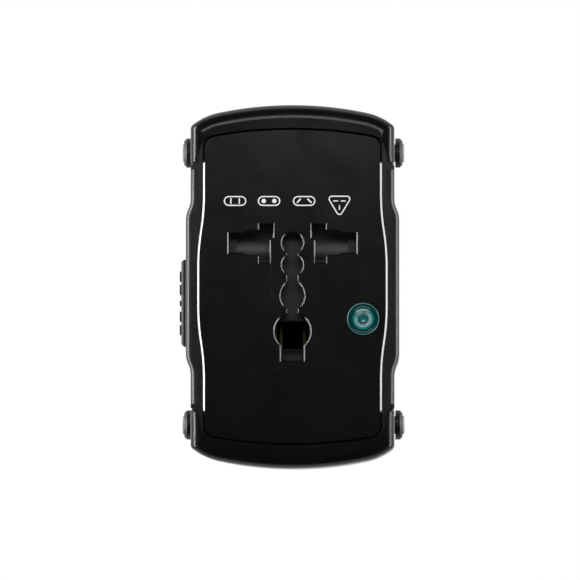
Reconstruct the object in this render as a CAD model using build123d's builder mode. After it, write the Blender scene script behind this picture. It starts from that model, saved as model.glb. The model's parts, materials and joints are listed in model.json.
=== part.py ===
from build123d import *
import os
from math import asin, cos, sin, sqrt

# World travel adapter with three sliding plugs, in millimetres.
# X is the width, +Z is up, the socket face looks to -Y and the plugs leave the rear face to +Y.
# The origin is the middle of the footprint of the adapter as it stands on its lower end.

# Envelope
height = 82.4
depth = 54.0
mid_width = 48.4
end_width = 46.2
mid_flat_half = 15.1
end_flat_half = 20.0
crown_radius = 82.0
crown_half = 16.8
shoulder_radius = 14.0
silhouette_corner = 1.3

# Clearances
slide_gap = 0.3
knob_gap = 0.2
seat_gap = 0.05
running_gap = 0.05
stop_gap = 0.2

# Tolerances for picking edges
near = 0.01
pick_margin = 0.1

# Walls
side_wall = 2.2
shell_end_wall = 2.2
cap_wall = 1.8
rear_wall = 2.5
partition = 1.6
front_half = 13.0

# Front panel
panel_end_width = 40.6
panel_mid_width = 43.2
panel_margin = 5.25
panel_mid_flat = 4.5
panel_end_flat = 21.0
panel_crown_radius = 100.0
panel_corner = 2.8
panel_thickness = 2.0
panel_recess = 1.2
panel_bevel = 0.4
face_thickness = 2.2
rail_drop = 1.6
rail_round = 1.8

# End caps
leg_margin = 0.25
cap_lip = 2.2
cap_round = 3.0
cap_heel = 0.8
rear_bevel = 0.8
leg_tip_round = 1.0
leg_root_inset = 0.4
leg_root_rise = 6.2
leg_tip_width = 1.5
leg_tip_rise = 0.8
cap_rear_recess = 1.2

# Socket apertures, from the line and neutral centre line
socket_rise = 9.9
aperture_bevel = 0.3
outer_slot_reach = 14.45
outer_slot_height = 4.4
pin_bulge_radius = 2.8
pin_bulge_x = 9.5
blade_slot_outer = 7.5
blade_slot_inner = 4.4
blade_slot_inner_low = 5.2
blade_slot_up = 4.25
blade_slot_down = 4.45
blade_step_top = 1.2
blade_step_low = 0.7
neck_half = 1.07
small_circle = 2.35
second_circle_drop = 5.0
pear_top_drop = 8.9
pear_shoulder_half = 2.2
pear_shoulder_drop = 10.2
pear_half = 2.65
pear_wide_drop = 12.2
pear_hip_half = 2.05
pear_hip_drop = 13.9
pear_low_drop = 14.75
big_circle = 4.05
big_circle_drop = 20.0
earth_slot_half = 2.53
earth_slot_drop = 26.65
face_relief = 0.35

# Indicator
lens_x = 16.0
lens_z = -7.3
lens_radius = 3.65
lens_proud = 0.3
lens_boss_radius = 2.5
lens_round = 0.25
led_radius = 1.5
led_tip_flat = 0.05
led_flange_radius = 1.9
led_flange = 1.0
led_tip_gap = 0.8
board_thickness = 1.6
board_standoff = 6.0
board_inner_x = 9.2
board_outer_x = 20.9
board_low_z = -17.0
board_high_z = 1.4
board_post_radius = 1.4
board_post_inset = 2.1
resistor_pitch = 3.6
resistor_length = 6.2
resistor_radius = 1.15

# Shutter
shutter_thickness = 2.0
shutter_travel = 8.6
wing_inner = 4.1
wing_outer = 15.4
wing_half = 5.4
wing_dish_radius = 7.0
wing_dish_depth = 1.1
wing_dish_outer = 12.7
arm_inner = 4.7
arm_outer = 7.9
ramp_drop = 23.9
ramp_height = 5.6
ramp_bevel = 1.4
guide_rib = 1.5
shutter_spring_length = 13.2
shutter_spring_radius = 1.0
spring_wire_radius = 0.2
shutter_spring_turns = 8
spring_seat_height = 1.8
spring_seat_half = 3.0
spring_seat_overhang = 0.9

# Contact block and its brass
block_half = 17.6
block_top = 17.2
block_bottom = -18.6
block_step = 3.0
block_stem_half = 8.2
block_back = 1.2
island_half = 3.7
island_top_rise = 4.0
island_drop = 17.6
cavity_inner = 4.2
cavity_outer = 15.2
cavity_half = 4.9
earth_cavity_half = 3.5
earth_cavity_top = -7.9
earth_cavity_bottom = -17.4
sheet = 0.6
contact_gap = 4.7
contact_inner = 4.6
contact_outer = 14.8
contact_setback = 1.5
contact_slit_x = 6.35
contact_slit = 2.0
contact_root = 2.1
tab_width = 3.0
tab_height = 2.0
earth_leaf_top = -8.3
earth_leaf_bottom = -16.9
bar_x = 12.0
bar_width = 4.0
bar_end_gap = 2.0

# Fuse
fuse_x = -14.6
fuse_radius = 2.4
fuse_cap_radius = 2.6
fuse_cap_length = 5.0
fuse_length = 20.0
fuse_low_z = -17.6
fuse_tray_offset = 1.8
fuse_tray_thickness = 1.6
fuse_clip_width = 4.0

# Screws
screw_x = 18.0
screw_z = 22.0
boss_radius = 3.1
screw_head_radius = 2.1
screw_head_height = 1.6
screw_seat = 8.0
screw_radius = 1.2
screw_length = 12.0
screw_clearance = 0.25

# Sliding carriages
carriage_thickness = 3.0
end_pin_lift = 1.1
end_plate_half = 5.6
end_plate_margin = 2.7
tip_recess = 0.3
cheek_thickness = 2.0
wiper_reach_gap = 0.3
wiper_lap = 1.5
shank_gap = 0.05

# British plug
uk_pin_x = 11.1
uk_pin_z = 9.9
uk_earth_z = -12.3
uk_pin_width = 6.35
uk_pin_height = 4.0
uk_pin_length = 17.7
uk_earth_width = 4.0
uk_earth_height = 8.0
uk_earth_length = 22.7
uk_sleeve_length = 9.0
uk_sleeve_wall = 0.5
uk_shank_width = 3.0
uk_shank_height = 2.4
pin_tip_bevel = 0.8
uk_plate_half = 18.5
uk_cheek_length = 7.3
uk_cheek_half = 6.0

# Side slider
grip_z = -3.4
grip_height = 19.8
grip_length = 12.0
grip_thickness = 1.1
grip_rib = 0.36
grip_rib_length = 10.0
grip_rib_height = 2.3
grip_rib_pitch = 3.05
grip_mark_height = 1.15
grip_rib_flat = 0.05
grip_round = 0.9
grip_neck_height = 4.0
grip_neck_length = 5.0
grip_offset = 4.5

# Continental plug
eu_pin_x = 9.5
eu_pin_radius = 2.0
eu_tip_flat = 0.1
eu_pin_length = 19.0
eu_sleeve_length = 10.0
eu_core_radius = 1.4
eu_shank_radius = 1.0
eu_rivet_radius = 1.6
eu_rivet = 0.4

# American and Australian plug
us_pin_x = 6.35
us_blade_width = 6.35
us_blade_thickness = 1.5
us_blade_length = 17.3
turret_radius = 3.5
turret_journal_radius = 2.6
turret_flange_radius = 3.1
turret_flange = 0.7
turret_length = 2.2
turret_gap = 0.1
us_shank_height = 3.0
blade_tip_bevel = 0.4

# Corner knobs and their release buttons
knob_radius = 3.35
knob_collar = 1.65
knob_bevel = 0.6
knob_stem_radius = 2.0
knob_setback = 5.5
cheek_length = 9.0
cheek_half = 4.5
cheek_margin = 1.5
button_radius = 2.15
button_proud = 0.5
button_cap = 1.05
button_travel = 0.6
button_round = 0.3
button_stem_radius = 0.8
button_head_radius = 1.3
button_head = 0.8
button_bore_radius = 1.5
button_spring_radius = 1.15
button_spring_wire = 0.18
button_spring_turns = 7

# Worked out from the sizes above
mid_z = height / 2
panel_height = height - 2 * panel_margin
front_y = -depth / 2
rear_y = depth / 2
panel_front_y = front_y + panel_recess
panel_back_y = panel_front_y + panel_thickness
face_back_y = panel_back_y + face_thickness
rail_front_y = front_y + rail_drop
parting_y = front_y + front_half
cap_seat_y = front_y + cap_lip
cap_rear_y = rear_y - cap_rear_recess
rear_inner_y = rear_y - rear_wall
plate_stop_y = rear_inner_y - stop_gap
shutter_front_y = face_back_y + slide_gap
shutter_back_y = shutter_front_y + shutter_thickness
block_front_y = shutter_back_y + slide_gap
contact_front_y = block_front_y + contact_setback
board_front_y = face_back_y + board_standoff
bar_rear_y = rear_inner_y - bar_end_gap
screw_head_y = parting_y + screw_seat
pin_overrun = rear_y - plate_stop_y
end_wall = cap_wall + shell_end_wall
partition_inner = screw_z - partition / 2
partition_outer = screw_z + partition / 2
end_pin_z = (partition_outer + mid_z - end_wall) / 2 + end_pin_lift
eu_pin_z = end_pin_z
us_pin_z = -end_pin_z
cap_leg_half = end_pin_z - knob_radius - leg_margin
leg_root_x = panel_end_width / 2 - leg_root_inset
leg_root_z = cap_leg_half + leg_root_rise
leg_tip_x = end_width / 2 - leg_tip_width
leg_tip_z = cap_leg_half + leg_tip_rise
cheek_outer = end_width / 2 - end_wall - slide_gap
uk_cheek_outer = mid_width / 2 - side_wall - slide_gap
fuse_tray_outer = uk_cheek_outer - cheek_thickness - slide_gap
uk_plate_y = rear_y - tip_recess - uk_earth_length - pin_overrun
eu_plate_y = rear_y - tip_recess - eu_pin_length - pin_overrun
us_plate_y = rear_y - tip_recess - us_blade_length - pin_overrun
bar_back_y = uk_plate_y - carriage_thickness - slide_gap
block_rear_y = bar_back_y - sheet
fuse_tray_y = (block_front_y + block_rear_y) / 2 + fuse_tray_offset
uk_travel = uk_earth_length + tip_recess
eu_travel = eu_pin_length + tip_recess
us_travel = us_blade_length + tip_recess
eu_knob_y = eu_plate_y - knob_setback
us_knob_y = us_plate_y - knob_setback
grip_y = uk_plate_y - grip_offset
cavity_back_y = block_rear_y - block_back
screw_tip_y = screw_head_y - screw_length
ramp_top = socket_rise - ramp_drop
ramp_bottom = ramp_top - ramp_height
spring_seat_z = ramp_bottom - shutter_spring_length


def facing_front(y):
    """A plane at depth y that looks out of the front, with its own origin at mid height."""
    return Plane(origin=(0, y, mid_z), x_dir=(1, 0, 0), z_dir=(0, -1, 0))


def facing_right(x, y, z):
    """A plane square to the X axis through a point, with z counted from mid height."""
    return Plane(origin=(x, y, mid_z + z), x_dir=(0, 1, 0), z_dir=(1, 0, 0))


def facing_left(x, y, z):
    """The same plane turned to look the other way."""
    return Plane(origin=(x, y, mid_z + z), x_dir=(0, -1, 0), z_dir=(-1, 0, 0))


def side_of(half_end, half_mid, end_flat, mid_flat):
    """The upper right side line: two tangent arcs out to the wide middle."""
    between = ((half_end + half_mid) / 2, (end_flat + mid_flat) / 2)
    TangentArc((half_end, end_flat), between, tangent=(0, -1))
    TangentArc((half_mid, mid_flat), between, tangent=(0, 1))
    Line((half_mid, mid_flat), (half_mid, 0))


def round_corners(outline, half_end, corner_z, radius):
    """Rounds the four corners where the sides meet the ends."""
    corners = [
        v for v in outline.vertices() if abs(abs(v.X) - half_end) < near and abs(abs(v.Y) - corner_z) < near
    ]
    fillet(corners, radius)


def silhouette():
    """The outline of the adapter seen from the front."""
    half_end = end_width / 2
    half_tall = height / 2
    crown_drop = crown_radius - sqrt(crown_radius**2 - crown_half**2)
    lean = asin(crown_half / crown_radius)
    shoulder_x = crown_half - shoulder_radius * sin(lean)
    shoulder_z = half_tall - crown_drop - shoulder_radius * cos(lean)
    corner_z = shoulder_z + sqrt(shoulder_radius**2 - (half_end - shoulder_x) ** 2)
    with BuildSketch(mode=Mode.PRIVATE) as outline:
        with BuildLine():
            crown_end = (crown_half, half_tall - crown_drop)
            TangentArc((0, half_tall), crown_end, tangent=(1, 0))
            TangentArc(crown_end, (half_end, corner_z), tangent=(cos(lean), -sin(lean)))
            Line((half_end, corner_z), (half_end, end_flat_half))
            side_of(half_end, mid_width / 2, end_flat_half, mid_flat_half)
            mirror(about=Plane.XZ)
            mirror(about=Plane.YZ)
        make_face()
        round_corners(outline, half_end, corner_z, silhouette_corner)
    return outline.sketch


def panel_outline(inset=0.0):
    """The outline of the inset front panel, drawn in by a gap."""
    half_end = panel_end_width / 2 - inset
    half_mid = panel_mid_width / 2 - inset
    half_tall = panel_height / 2 - inset
    radius = panel_crown_radius - inset
    corner_z = half_tall - radius + sqrt(radius**2 - half_end**2)
    with BuildSketch(mode=Mode.PRIVATE) as outline:
        with BuildLine():
            TangentArc((0, half_tall), (half_end, corner_z), tangent=(1, 0))
            Line((half_end, corner_z), (half_end, panel_end_flat))
            side_of(half_end, half_mid, panel_end_flat, panel_mid_flat)
            mirror(about=Plane.XZ)
            mirror(about=Plane.YZ)
        make_face()
        round_corners(outline, half_end, corner_z, panel_corner - inset)
    return outline.sketch


def keyhole():
    """The chain of earth holes on the middle line, from the centre line of the live holes down."""
    neck_dip = sqrt(small_circle**2 - neck_half**2)
    big_dip = sqrt(big_circle**2 - neck_half**2)
    slot_dip = sqrt(big_circle**2 - earth_slot_half**2)
    with BuildSketch(mode=Mode.PRIVATE) as hole:
        with BuildLine():
            first_end = (neck_half, -neck_dip)
            ThreePointArc((0, small_circle), (small_circle, 0), first_end)
            second_start = (neck_half, neck_dip - second_circle_drop)
            Line(first_end, second_start)
            second_end = (neck_half, -neck_dip - second_circle_drop)
            ThreePointArc(second_start, (small_circle, -second_circle_drop), second_end)
            pear_start = (neck_half, -pear_top_drop)
            Line(second_end, pear_start)
            pear_wide = (pear_half, -pear_wide_drop)
            ThreePointArc(pear_start, (pear_shoulder_half, -pear_shoulder_drop), pear_wide)
            pear_end = (neck_half, -pear_low_drop)
            ThreePointArc(pear_wide, (pear_hip_half, -pear_hip_drop), pear_end)
            big_start = (neck_half, big_dip - big_circle_drop)
            Line(pear_end, big_start)
            big_end = (earth_slot_half, -slot_dip - big_circle_drop)
            ThreePointArc(big_start, (big_circle, -big_circle_drop), big_end)
            Line(big_end, (earth_slot_half, -earth_slot_drop))
            Line((earth_slot_half, -earth_slot_drop), (0, -earth_slot_drop))
            mirror(about=Plane.YZ)
        make_face()
    return hole.sketch.moved(Location((0, socket_rise)))


def live_hole():
    """The right one of the two combined holes for flat, round and rectangular pins."""
    with BuildSketch(mode=Mode.PRIVATE) as hole:
        with Locations((pin_bulge_x, 0)):
            Rectangle(outer_slot_reach - pin_bulge_x, outer_slot_height, align=(Align.MIN, Align.CENTER))
            Circle(pin_bulge_radius)
            Rectangle(pin_bulge_x - blade_slot_outer, 2 * pin_bulge_radius, align=(Align.MAX, Align.CENTER))
        with BuildLine():
            Polyline(
                (blade_slot_outer, blade_slot_up),
                (blade_slot_inner, blade_slot_up),
                (blade_slot_inner, blade_step_top),
                (blade_slot_inner_low, blade_step_low),
                (blade_slot_inner_low, -blade_slot_down),
                (blade_slot_outer, -blade_slot_down),
                close=True,
            )
        make_face()
    return hole.sketch.moved(Location((0, socket_rise)))


def apertures(grow=0.0):
    """Both live holes and the keyhole, grown by the same amount all round."""
    with BuildSketch(mode=Mode.PRIVATE) as holes:
        add(live_hole())
        add(mirror(live_hole(), about=Plane.YZ, mode=Mode.PRIVATE))
        add(keyhole())
        if grow > 0:
            offset(amount=grow, kind=Kind.INTERSECTION)
    return holes.sketch


def inset_outline(inset, low=-height, high=height):
    """The silhouette drawn in by a wall, kept between two heights from mid height."""
    with BuildSketch(mode=Mode.PRIVATE) as inner:
        add(silhouette())
        if inset > 0:
            offset(amount=-inset)
        with Locations((0, (low + high) / 2)):
            Rectangle(2 * mid_width, high - low, mode=Mode.INTERSECT)
    return inner.sketch


def block(left, right, front, back, low, high, mode=Mode.ADD):
    """A straight block between limits, with its heights counted from mid height."""
    with Locations(((left + right) / 2, (front + back) / 2, mid_z + (low + high) / 2)):
        Box(right - left, back - front, high - low, mode=mode)


def rod(x, z, front, back, radius, mode=Mode.ADD):
    """A round rod along the depth."""
    with BuildSketch(facing_front(back)) as section:
        with Locations((x, z)):
            Circle(radius)
    extrude(section.sketch, amount=back - front, mode=mode)


def knob_slot(knob_y, travel, z):
    """The slot through both side walls that a knob's stem runs in."""
    with BuildSketch(facing_right(0, knob_y + travel / 2, z)) as slot:
        SlotCenterToCenter(travel, 2 * (knob_stem_radius + slide_gap))
    extrude(slot.sketch, amount=mid_width, both=True, mode=Mode.SUBTRACT)


def rail_end(shrink=0.0):
    """The four wedges beside the panel's corners where the rails run up inside the legs of the caps."""
    with BuildSketch(mode=Mode.PRIVATE) as wedge:
        with BuildLine():
            TangentArc((leg_tip_x, leg_tip_z), (leg_root_x, leg_root_z), tangent=(0, 1))
            Polyline(
                (leg_root_x, leg_root_z),
                (leg_root_x - cap_lip, leg_root_z),
                (leg_root_x - cap_lip, cap_leg_half - leg_tip_round),
                (end_width / 2 - shrink, cap_leg_half - leg_tip_round),
                (end_width / 2 - shrink, cap_leg_half),
                (leg_tip_x, leg_tip_z),
            )
        make_face()
        if shrink > 0:
            offset(amount=-shrink)
        mirror(about=Plane.XZ)
        mirror(about=Plane.YZ)
    return wedge.sketch


def casing(front, back):
    """The outer form of the casing: full width between the end caps and drawn in under them."""
    with BuildSketch(facing_front(back)) as section:
        add(inset_outline(cap_wall))
        add(inset_outline(0, -cap_leg_half + seat_gap, cap_leg_half - seat_gap))
    extrude(section.sketch, amount=back - front)


def hollow(front, back, mid_low, mid_high, end_low):
    """The hollow inside the side walls: a wide middle and two end bays from end_low outwards."""
    with BuildSketch(facing_front(back)) as section:
        add(inset_outline(side_wall, mid_low, mid_high))
        add(inset_outline(end_wall, end_low, height))
        add(inset_outline(end_wall, -height, -end_low))
    extrude(section.sketch, amount=back - front, mode=Mode.SUBTRACT)


def save(piece, label):
    """Labels a finished piece and writes it."""
    piece.label = label
    export_step(piece, f"parts/{label}.step")


os.makedirs("parts", exist_ok=True)

# Front panel: a flat glossy plate with bevelled holes
with BuildPart() as front_panel:
    with BuildSketch(facing_front(panel_back_y)):
        add(panel_outline(seat_gap))
        add(apertures(), mode=Mode.SUBTRACT)
        with Locations((lens_x, lens_z)):
            Circle(lens_radius + running_gap, mode=Mode.SUBTRACT)
    extrude(amount=panel_thickness)
    gloss_face = front_panel.faces().sort_by(Axis.Y)[0]
    holes = [edge for wire in gloss_face.inner_wires() for edge in wire.edges()]
    chamfer(gloss_face.outer_wire().edges(), panel_bevel)
    chamfer(holes, aperture_bevel)
save(front_panel.part, "front_panel")

# Front frame: rails round the panel, a face behind it, and the front half of the side walls
with BuildPart() as front_frame:
    with BuildSketch(facing_front(parting_y)):
        add(inset_outline(0, -cap_leg_half + seat_gap, cap_leg_half - seat_gap))
    extrude(amount=parting_y - rail_front_y)
    rail_edges = front_frame.faces().sort_by(Axis.Y)[0].edges()
    fillet([e for e in rail_edges if abs(e.center().Z - mid_z) < cap_leg_half - pick_margin], rail_round)
    with BuildSketch(facing_front(parting_y)):
        add(inset_outline(cap_wall))
    extrude(amount=parting_y - cap_seat_y)
    with BuildSketch(facing_front(cap_seat_y)):
        add(rail_end(seat_gap))
    extrude(amount=cap_seat_y - rail_front_y)
    hollow(face_back_y, parting_y, -partition_outer, partition_outer, partition_inner)
    with BuildSketch(facing_front(panel_back_y)):
        add(panel_outline())
    extrude(amount=panel_thickness + panel_recess, mode=Mode.SUBTRACT)
    with BuildSketch(facing_front(face_back_y)):
        add(apertures(face_relief))
        with Locations((lens_x, lens_z)):
            Circle(lens_boss_radius + running_gap)
    extrude(amount=face_thickness, mode=Mode.SUBTRACT)
    for x in (-screw_x, screw_x):
        for z in (-screw_z, screw_z):
            rod(x, z, face_back_y, parting_y, boss_radius)
            rod(x, z, screw_tip_y - slide_gap, parting_y, screw_radius + running_gap, mode=Mode.SUBTRACT)
    rib_low = socket_rise - wing_half - shutter_travel
    rib_high = socket_rise + wing_half
    for left in (wing_outer + slide_gap, -wing_outer - slide_gap - guide_rib):
        block(left, left + guide_rib, face_back_y, block_front_y, rib_low, rib_high)
    block(
        -spring_seat_half,
        spring_seat_half,
        face_back_y,
        shutter_back_y + spring_seat_overhang,
        spring_seat_z - spring_seat_height,
        spring_seat_z,
    )
    for x in (board_inner_x + board_post_inset, board_outer_x - board_post_inset):
        rod(x, board_low_z + board_post_inset, face_back_y, board_front_y, board_post_radius)
save(front_frame.part, "front_frame")

# Rear shell: the deep half of the casing with the pin holes in its rear face
with BuildPart() as rear_shell:
    casing(parting_y, rear_y)
    rear_edges = rear_shell.faces().sort_by(Axis.Y)[-1].edges()
    chamfer(rear_edges, rear_bevel)
    hollow(parting_y, bar_back_y, -partition_outer, partition_outer, partition_inner)
    hollow(bar_back_y, rear_inner_y, -partition_inner, partition_inner, partition_outer)
    for x in (-screw_x, screw_x):
        for z in (-screw_z, screw_z):
            rod(x, z, parting_y, rear_inner_y, boss_radius)
            rod(x, z, parting_y, rear_y, screw_radius + screw_clearance, mode=Mode.SUBTRACT)
            rod(x, z, screw_head_y, rear_y, screw_head_radius + screw_clearance, mode=Mode.SUBTRACT)
    with BuildSketch(facing_front(rear_y)):
        with Locations((-uk_pin_x, uk_pin_z), (uk_pin_x, uk_pin_z)):
            Rectangle(uk_pin_width + 2 * slide_gap, uk_pin_height + 2 * slide_gap)
        with Locations((0, uk_earth_z)):
            Rectangle(uk_earth_width + 2 * slide_gap, uk_earth_height + 2 * slide_gap)
        with Locations((-eu_pin_x, eu_pin_z), (eu_pin_x, eu_pin_z)):
            Circle(eu_pin_radius + slide_gap)
        with Locations((-us_pin_x, us_pin_z), (us_pin_x, us_pin_z)):
            Circle(turret_radius + slide_gap)
    extrude(amount=rear_wall, mode=Mode.SUBTRACT)
    knob_slot(eu_knob_y, eu_travel, eu_pin_z)
    knob_slot(us_knob_y, us_travel, us_pin_z)
    block(
        -mid_width,
        0,
        grip_y - grip_neck_length / 2 - slide_gap,
        grip_y + uk_travel + grip_neck_length / 2 + slide_gap,
        grip_z - grip_neck_height / 2 - slide_gap,
        grip_z + grip_neck_height / 2 + slide_gap,
        mode=Mode.SUBTRACT,
    )
save(rear_shell.part, "rear_shell")

# End caps: deep bumpers over both ends, with a lip over the panel and legs down both sides
caps = {
    "top_end_cap": (cap_leg_half, height, eu_knob_y, eu_travel, eu_pin_z),
    "bottom_end_cap": (-height, -cap_leg_half, us_knob_y, us_travel, us_pin_z),
}
for label, (low, high, knob_y, travel, knob_z) in caps.items():
    with BuildPart() as end_cap:
        with BuildSketch(facing_front(cap_rear_y)):
            add(inset_outline(0, low, high))
        extrude(amount=cap_rear_y - front_y)
        sides = end_cap.edges().filter_by(Axis.Y)
        fillet([e for e in sides if abs(e.center().Z - mid_z) < cap_leg_half + pick_margin], leg_tip_round)
        brow = end_cap.faces().sort_by(Axis.Y)[0].edges()
        fillet([e for e in brow if abs(e.center().Z - mid_z) > cap_leg_half + pick_margin], cap_round)
        heel = end_cap.faces().sort_by(Axis.Y)[-1].edges()
        chamfer([e for e in heel if abs(e.center().Z - mid_z) > cap_leg_half + pick_margin], cap_heel)
        with BuildSketch(facing_front(rear_y)):
            add(inset_outline(cap_wall - seat_gap))
        extrude(amount=rear_y - cap_seat_y, mode=Mode.SUBTRACT)
        with BuildSketch(facing_front(cap_seat_y)):
            add(panel_outline())
            add(rail_end())
        extrude(amount=cap_lip, mode=Mode.SUBTRACT)
        knob_slot(knob_y, travel, knob_z)
    save(end_cap.part, label)

# Lens: a flanged teal window with a light pipe behind it
with BuildPart() as led_lens:
    rod(lens_x, lens_z, panel_front_y - lens_proud, panel_back_y, lens_radius)
    fillet(led_lens.faces().sort_by(Axis.Y)[0].edges(), lens_round)
    rod(lens_x, lens_z, panel_back_y, face_back_y, lens_boss_radius)
save(led_lens.part, "led_lens")

# Indicator and its board with two resistors
led_back_y = board_front_y
led_front_y = face_back_y + led_tip_gap
with BuildPart() as indicator_led:
    rod(lens_x, lens_z, led_front_y, led_back_y, led_radius)
    fillet(indicator_led.faces().sort_by(Axis.Y)[0].edges(), led_radius - led_tip_flat)
    rod(lens_x, lens_z, led_back_y - led_flange, led_back_y, led_flange_radius)
save(indicator_led.part, "indicator_led")

board_back_y = board_front_y + board_thickness
with BuildPart() as circuit_board:
    block(board_inner_x, board_outer_x, board_front_y, board_back_y, board_low_z, board_high_z)
save(circuit_board.part, "circuit_board")

with BuildPart() as board_resistors:
    for z in (lens_z - resistor_pitch, lens_z - 2 * resistor_pitch):
        with BuildSketch(facing_right(lens_x - resistor_length / 2, board_back_y + resistor_radius, z)):
            Circle(resistor_radius)
        extrude(amount=resistor_length)
save(board_resistors.part, "board_resistors")

# Shutter: two dished wings over the live holes, joined by arms to a ramp bar under the earth hole
with BuildPart() as shutter:
    wing_low = socket_rise - wing_half
    wing_high = socket_rise + wing_half
    for side in (-1, 1):
        inner, outer = sorted((side * wing_inner, side * wing_outer))
        block(inner, outer, shutter_front_y, shutter_back_y, wing_low, wing_high)
        inner, outer = sorted((side * arm_inner, side * arm_outer))
        block(inner, outer, shutter_front_y, shutter_back_y, ramp_bottom, wing_low)
    block(-arm_outer, arm_outer, shutter_front_y, shutter_back_y, ramp_bottom, ramp_top)
    ramp_edge = shutter.edges().filter_by(Axis.X).filter_by(
        lambda e: abs(e.center().Z - mid_z - ramp_top) < near and e.center().Y < shutter_front_y + near
    )
    chamfer(ramp_edge, ramp_bevel)
    for side in (-1, 1):
        inner, outer = sorted((side * blade_slot_inner, side * wing_dish_outer))
        dish_y = shutter_front_y + wing_dish_depth - wing_dish_radius
        with BuildSketch(facing_right(inner, dish_y, socket_rise)):
            Circle(wing_dish_radius)
        extrude(amount=outer - inner, mode=Mode.SUBTRACT)
    spring_y = (shutter_front_y + shutter_back_y) / 2
save(shutter.part, "shutter")

# Shutter spring, between the ramp bar and the seat on the frame
with BuildPart() as shutter_spring:
    rise = shutter_spring_length - 2 * spring_wire_radius - 2 * running_gap
    foot = Vector(0, spring_y, mid_z + spring_seat_z + spring_wire_radius + running_gap)
    with BuildLine() as coil:
        Helix(rise / shutter_spring_turns, rise, shutter_spring_radius, center=foot)
    with BuildSketch(Plane(origin=coil.line @ 0, z_dir=coil.line % 0)):
        Circle(spring_wire_radius)
    sweep(path=coil.line, is_frenet=True)
save(shutter_spring.part, "shutter_spring")

# Contact block: a cavity for each live receptacle, with a slot for its tab
with BuildPart() as contact_block:
    block(-block_half, block_half, block_front_y, block_rear_y, block_step, block_top)
    for side in (-1, 1):
        inner, outer = sorted((side * cavity_inner, side * cavity_outer))
        low, high = socket_rise - cavity_half, socket_rise + cavity_half
        block(inner, outer, block_front_y, cavity_back_y, low, high, mode=Mode.SUBTRACT)
        tab_half = tab_height / 2 + seat_gap
        left, right = side * bar_x - tab_width / 2 - seat_gap, side * bar_x + tab_width / 2 + seat_gap
        low, high = socket_rise - tab_half, socket_rise + tab_half
        block(left, right, cavity_back_y, block_rear_y, low, high, mode=Mode.SUBTRACT)
save(contact_block.part, "contact_block")

# Earth block: the earth receptacle's cavity and the island that stands behind the keyhole
with BuildPart() as earth_block:
    block(-block_stem_half, block_stem_half, block_front_y, block_rear_y, block_bottom, block_step)
    island_low = socket_rise - island_drop
    island_high = socket_rise + island_top_rise
    block(-island_half, island_half, shutter_front_y, block_front_y, island_low, island_high)
    block(
        -earth_cavity_half,
        earth_cavity_half,
        block_front_y,
        cavity_back_y,
        earth_cavity_bottom,
        earth_cavity_top,
        mode=Mode.SUBTRACT,
    )
    left, right = -tab_width / 2 - seat_gap, tab_width / 2 + seat_gap
    low, high = uk_earth_z - tab_half, uk_earth_z + tab_half
    block(left, right, cavity_back_y, block_rear_y, low, high, mode=Mode.SUBTRACT)
save(earth_block.part, "earth_block")

# Fuse tray, beside the earth block
with BuildPart() as fuse_tray:
    tray_back = fuse_tray_y + fuse_tray_thickness
    block(-fuse_tray_outer, -block_stem_half, fuse_tray_y, tray_back, block_bottom, block_step)
save(fuse_tray.part, "fuse_tray")

# Live receptacles: two slit leaves on a back plate, with a tab through the block
for label, side in (("line_contact", -1), ("neutral_contact", 1)):
    with BuildPart() as receptacle:
        inner, outer = sorted((side * contact_inner, side * contact_outer))
        gap_half = contact_gap / 2
        back = cavity_back_y - sheet
        for low in (socket_rise + gap_half, socket_rise - gap_half - sheet):
            block(inner, outer, contact_front_y, back, low, low + sheet)
        slit = side * contact_slit_x
        slit_back = back - contact_root
        low, high = socket_rise - gap_half - sheet, socket_rise + gap_half + sheet
        left, right = slit - contact_slit / 2, slit + contact_slit / 2
        block(left, right, contact_front_y, slit_back, low, high, mode=Mode.SUBTRACT)
        block(inner, outer, back, cavity_back_y, low, high)
        left, right = side * bar_x - tab_width / 2, side * bar_x + tab_width / 2
        low, high = socket_rise - tab_height / 2, socket_rise + tab_height / 2
        block(left, right, cavity_back_y, block_rear_y, low, high)
    save(receptacle.part, label)

# Earth receptacle: two upright leaves on a back plate
with BuildPart() as earth_contact:
    gap_half = contact_gap / 2
    back = cavity_back_y - sheet
    for left in (-gap_half - sheet, gap_half):
        block(left, left + sheet, contact_front_y, back, earth_leaf_bottom, earth_leaf_top)
    left, right = -gap_half - sheet, gap_half + sheet
    block(left, right, back, cavity_back_y, earth_leaf_bottom, earth_leaf_top)
    low, high = uk_earth_z - tab_height / 2, uk_earth_z + tab_height / 2
    block(-tab_width / 2, tab_width / 2, cavity_back_y, block_rear_y, low, high)
save(earth_contact.part, "earth_contact")

# Live bars: a strip behind the block with three legs back along the partitions
for label, side in (("line_bus_bar", -1), ("neutral_bus_bar", 1)):
    with BuildPart() as bus_bar:
        left, right = side * bar_x - bar_width / 2, side * bar_x + bar_width / 2
        top = partition_outer + seat_gap + sheet
        block(left, right, block_rear_y, bar_back_y, -top, top)
        uk_leg = partition_inner - seat_gap - sheet
        for low in (uk_leg, partition_outer + seat_gap, -top):
            block(left, right, bar_back_y, bar_rear_y, low, low + sheet)
    save(bus_bar.part, label)

# Earth bar: the same for the one earth pin
with BuildPart() as earth_bus_bar:
    low = -partition_inner + seat_gap
    half = bar_width / 2
    block(-half, half, block_rear_y, bar_back_y, low, uk_earth_z + tab_height)
    block(-half, half, bar_back_y, bar_rear_y, low, low + sheet)
save(earth_bus_bar.part, "earth_bus_bar")

# Fuse: a ceramic tube between two caps, held in two spring clips on the tray
fuse_y = fuse_tray_y - sheet - fuse_cap_radius
clip_heights = (fuse_low_z + fuse_cap_length / 2, fuse_low_z + fuse_length - fuse_cap_length / 2)
with BuildPart() as fuse:
    with Locations((fuse_x, fuse_y, mid_z + fuse_low_z + fuse_cap_length)):
        Cylinder(
            fuse_radius,
            fuse_length - 2 * fuse_cap_length,
            align=(Align.CENTER, Align.CENTER, Align.MIN),
        )
save(fuse.part, "fuse")

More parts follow.
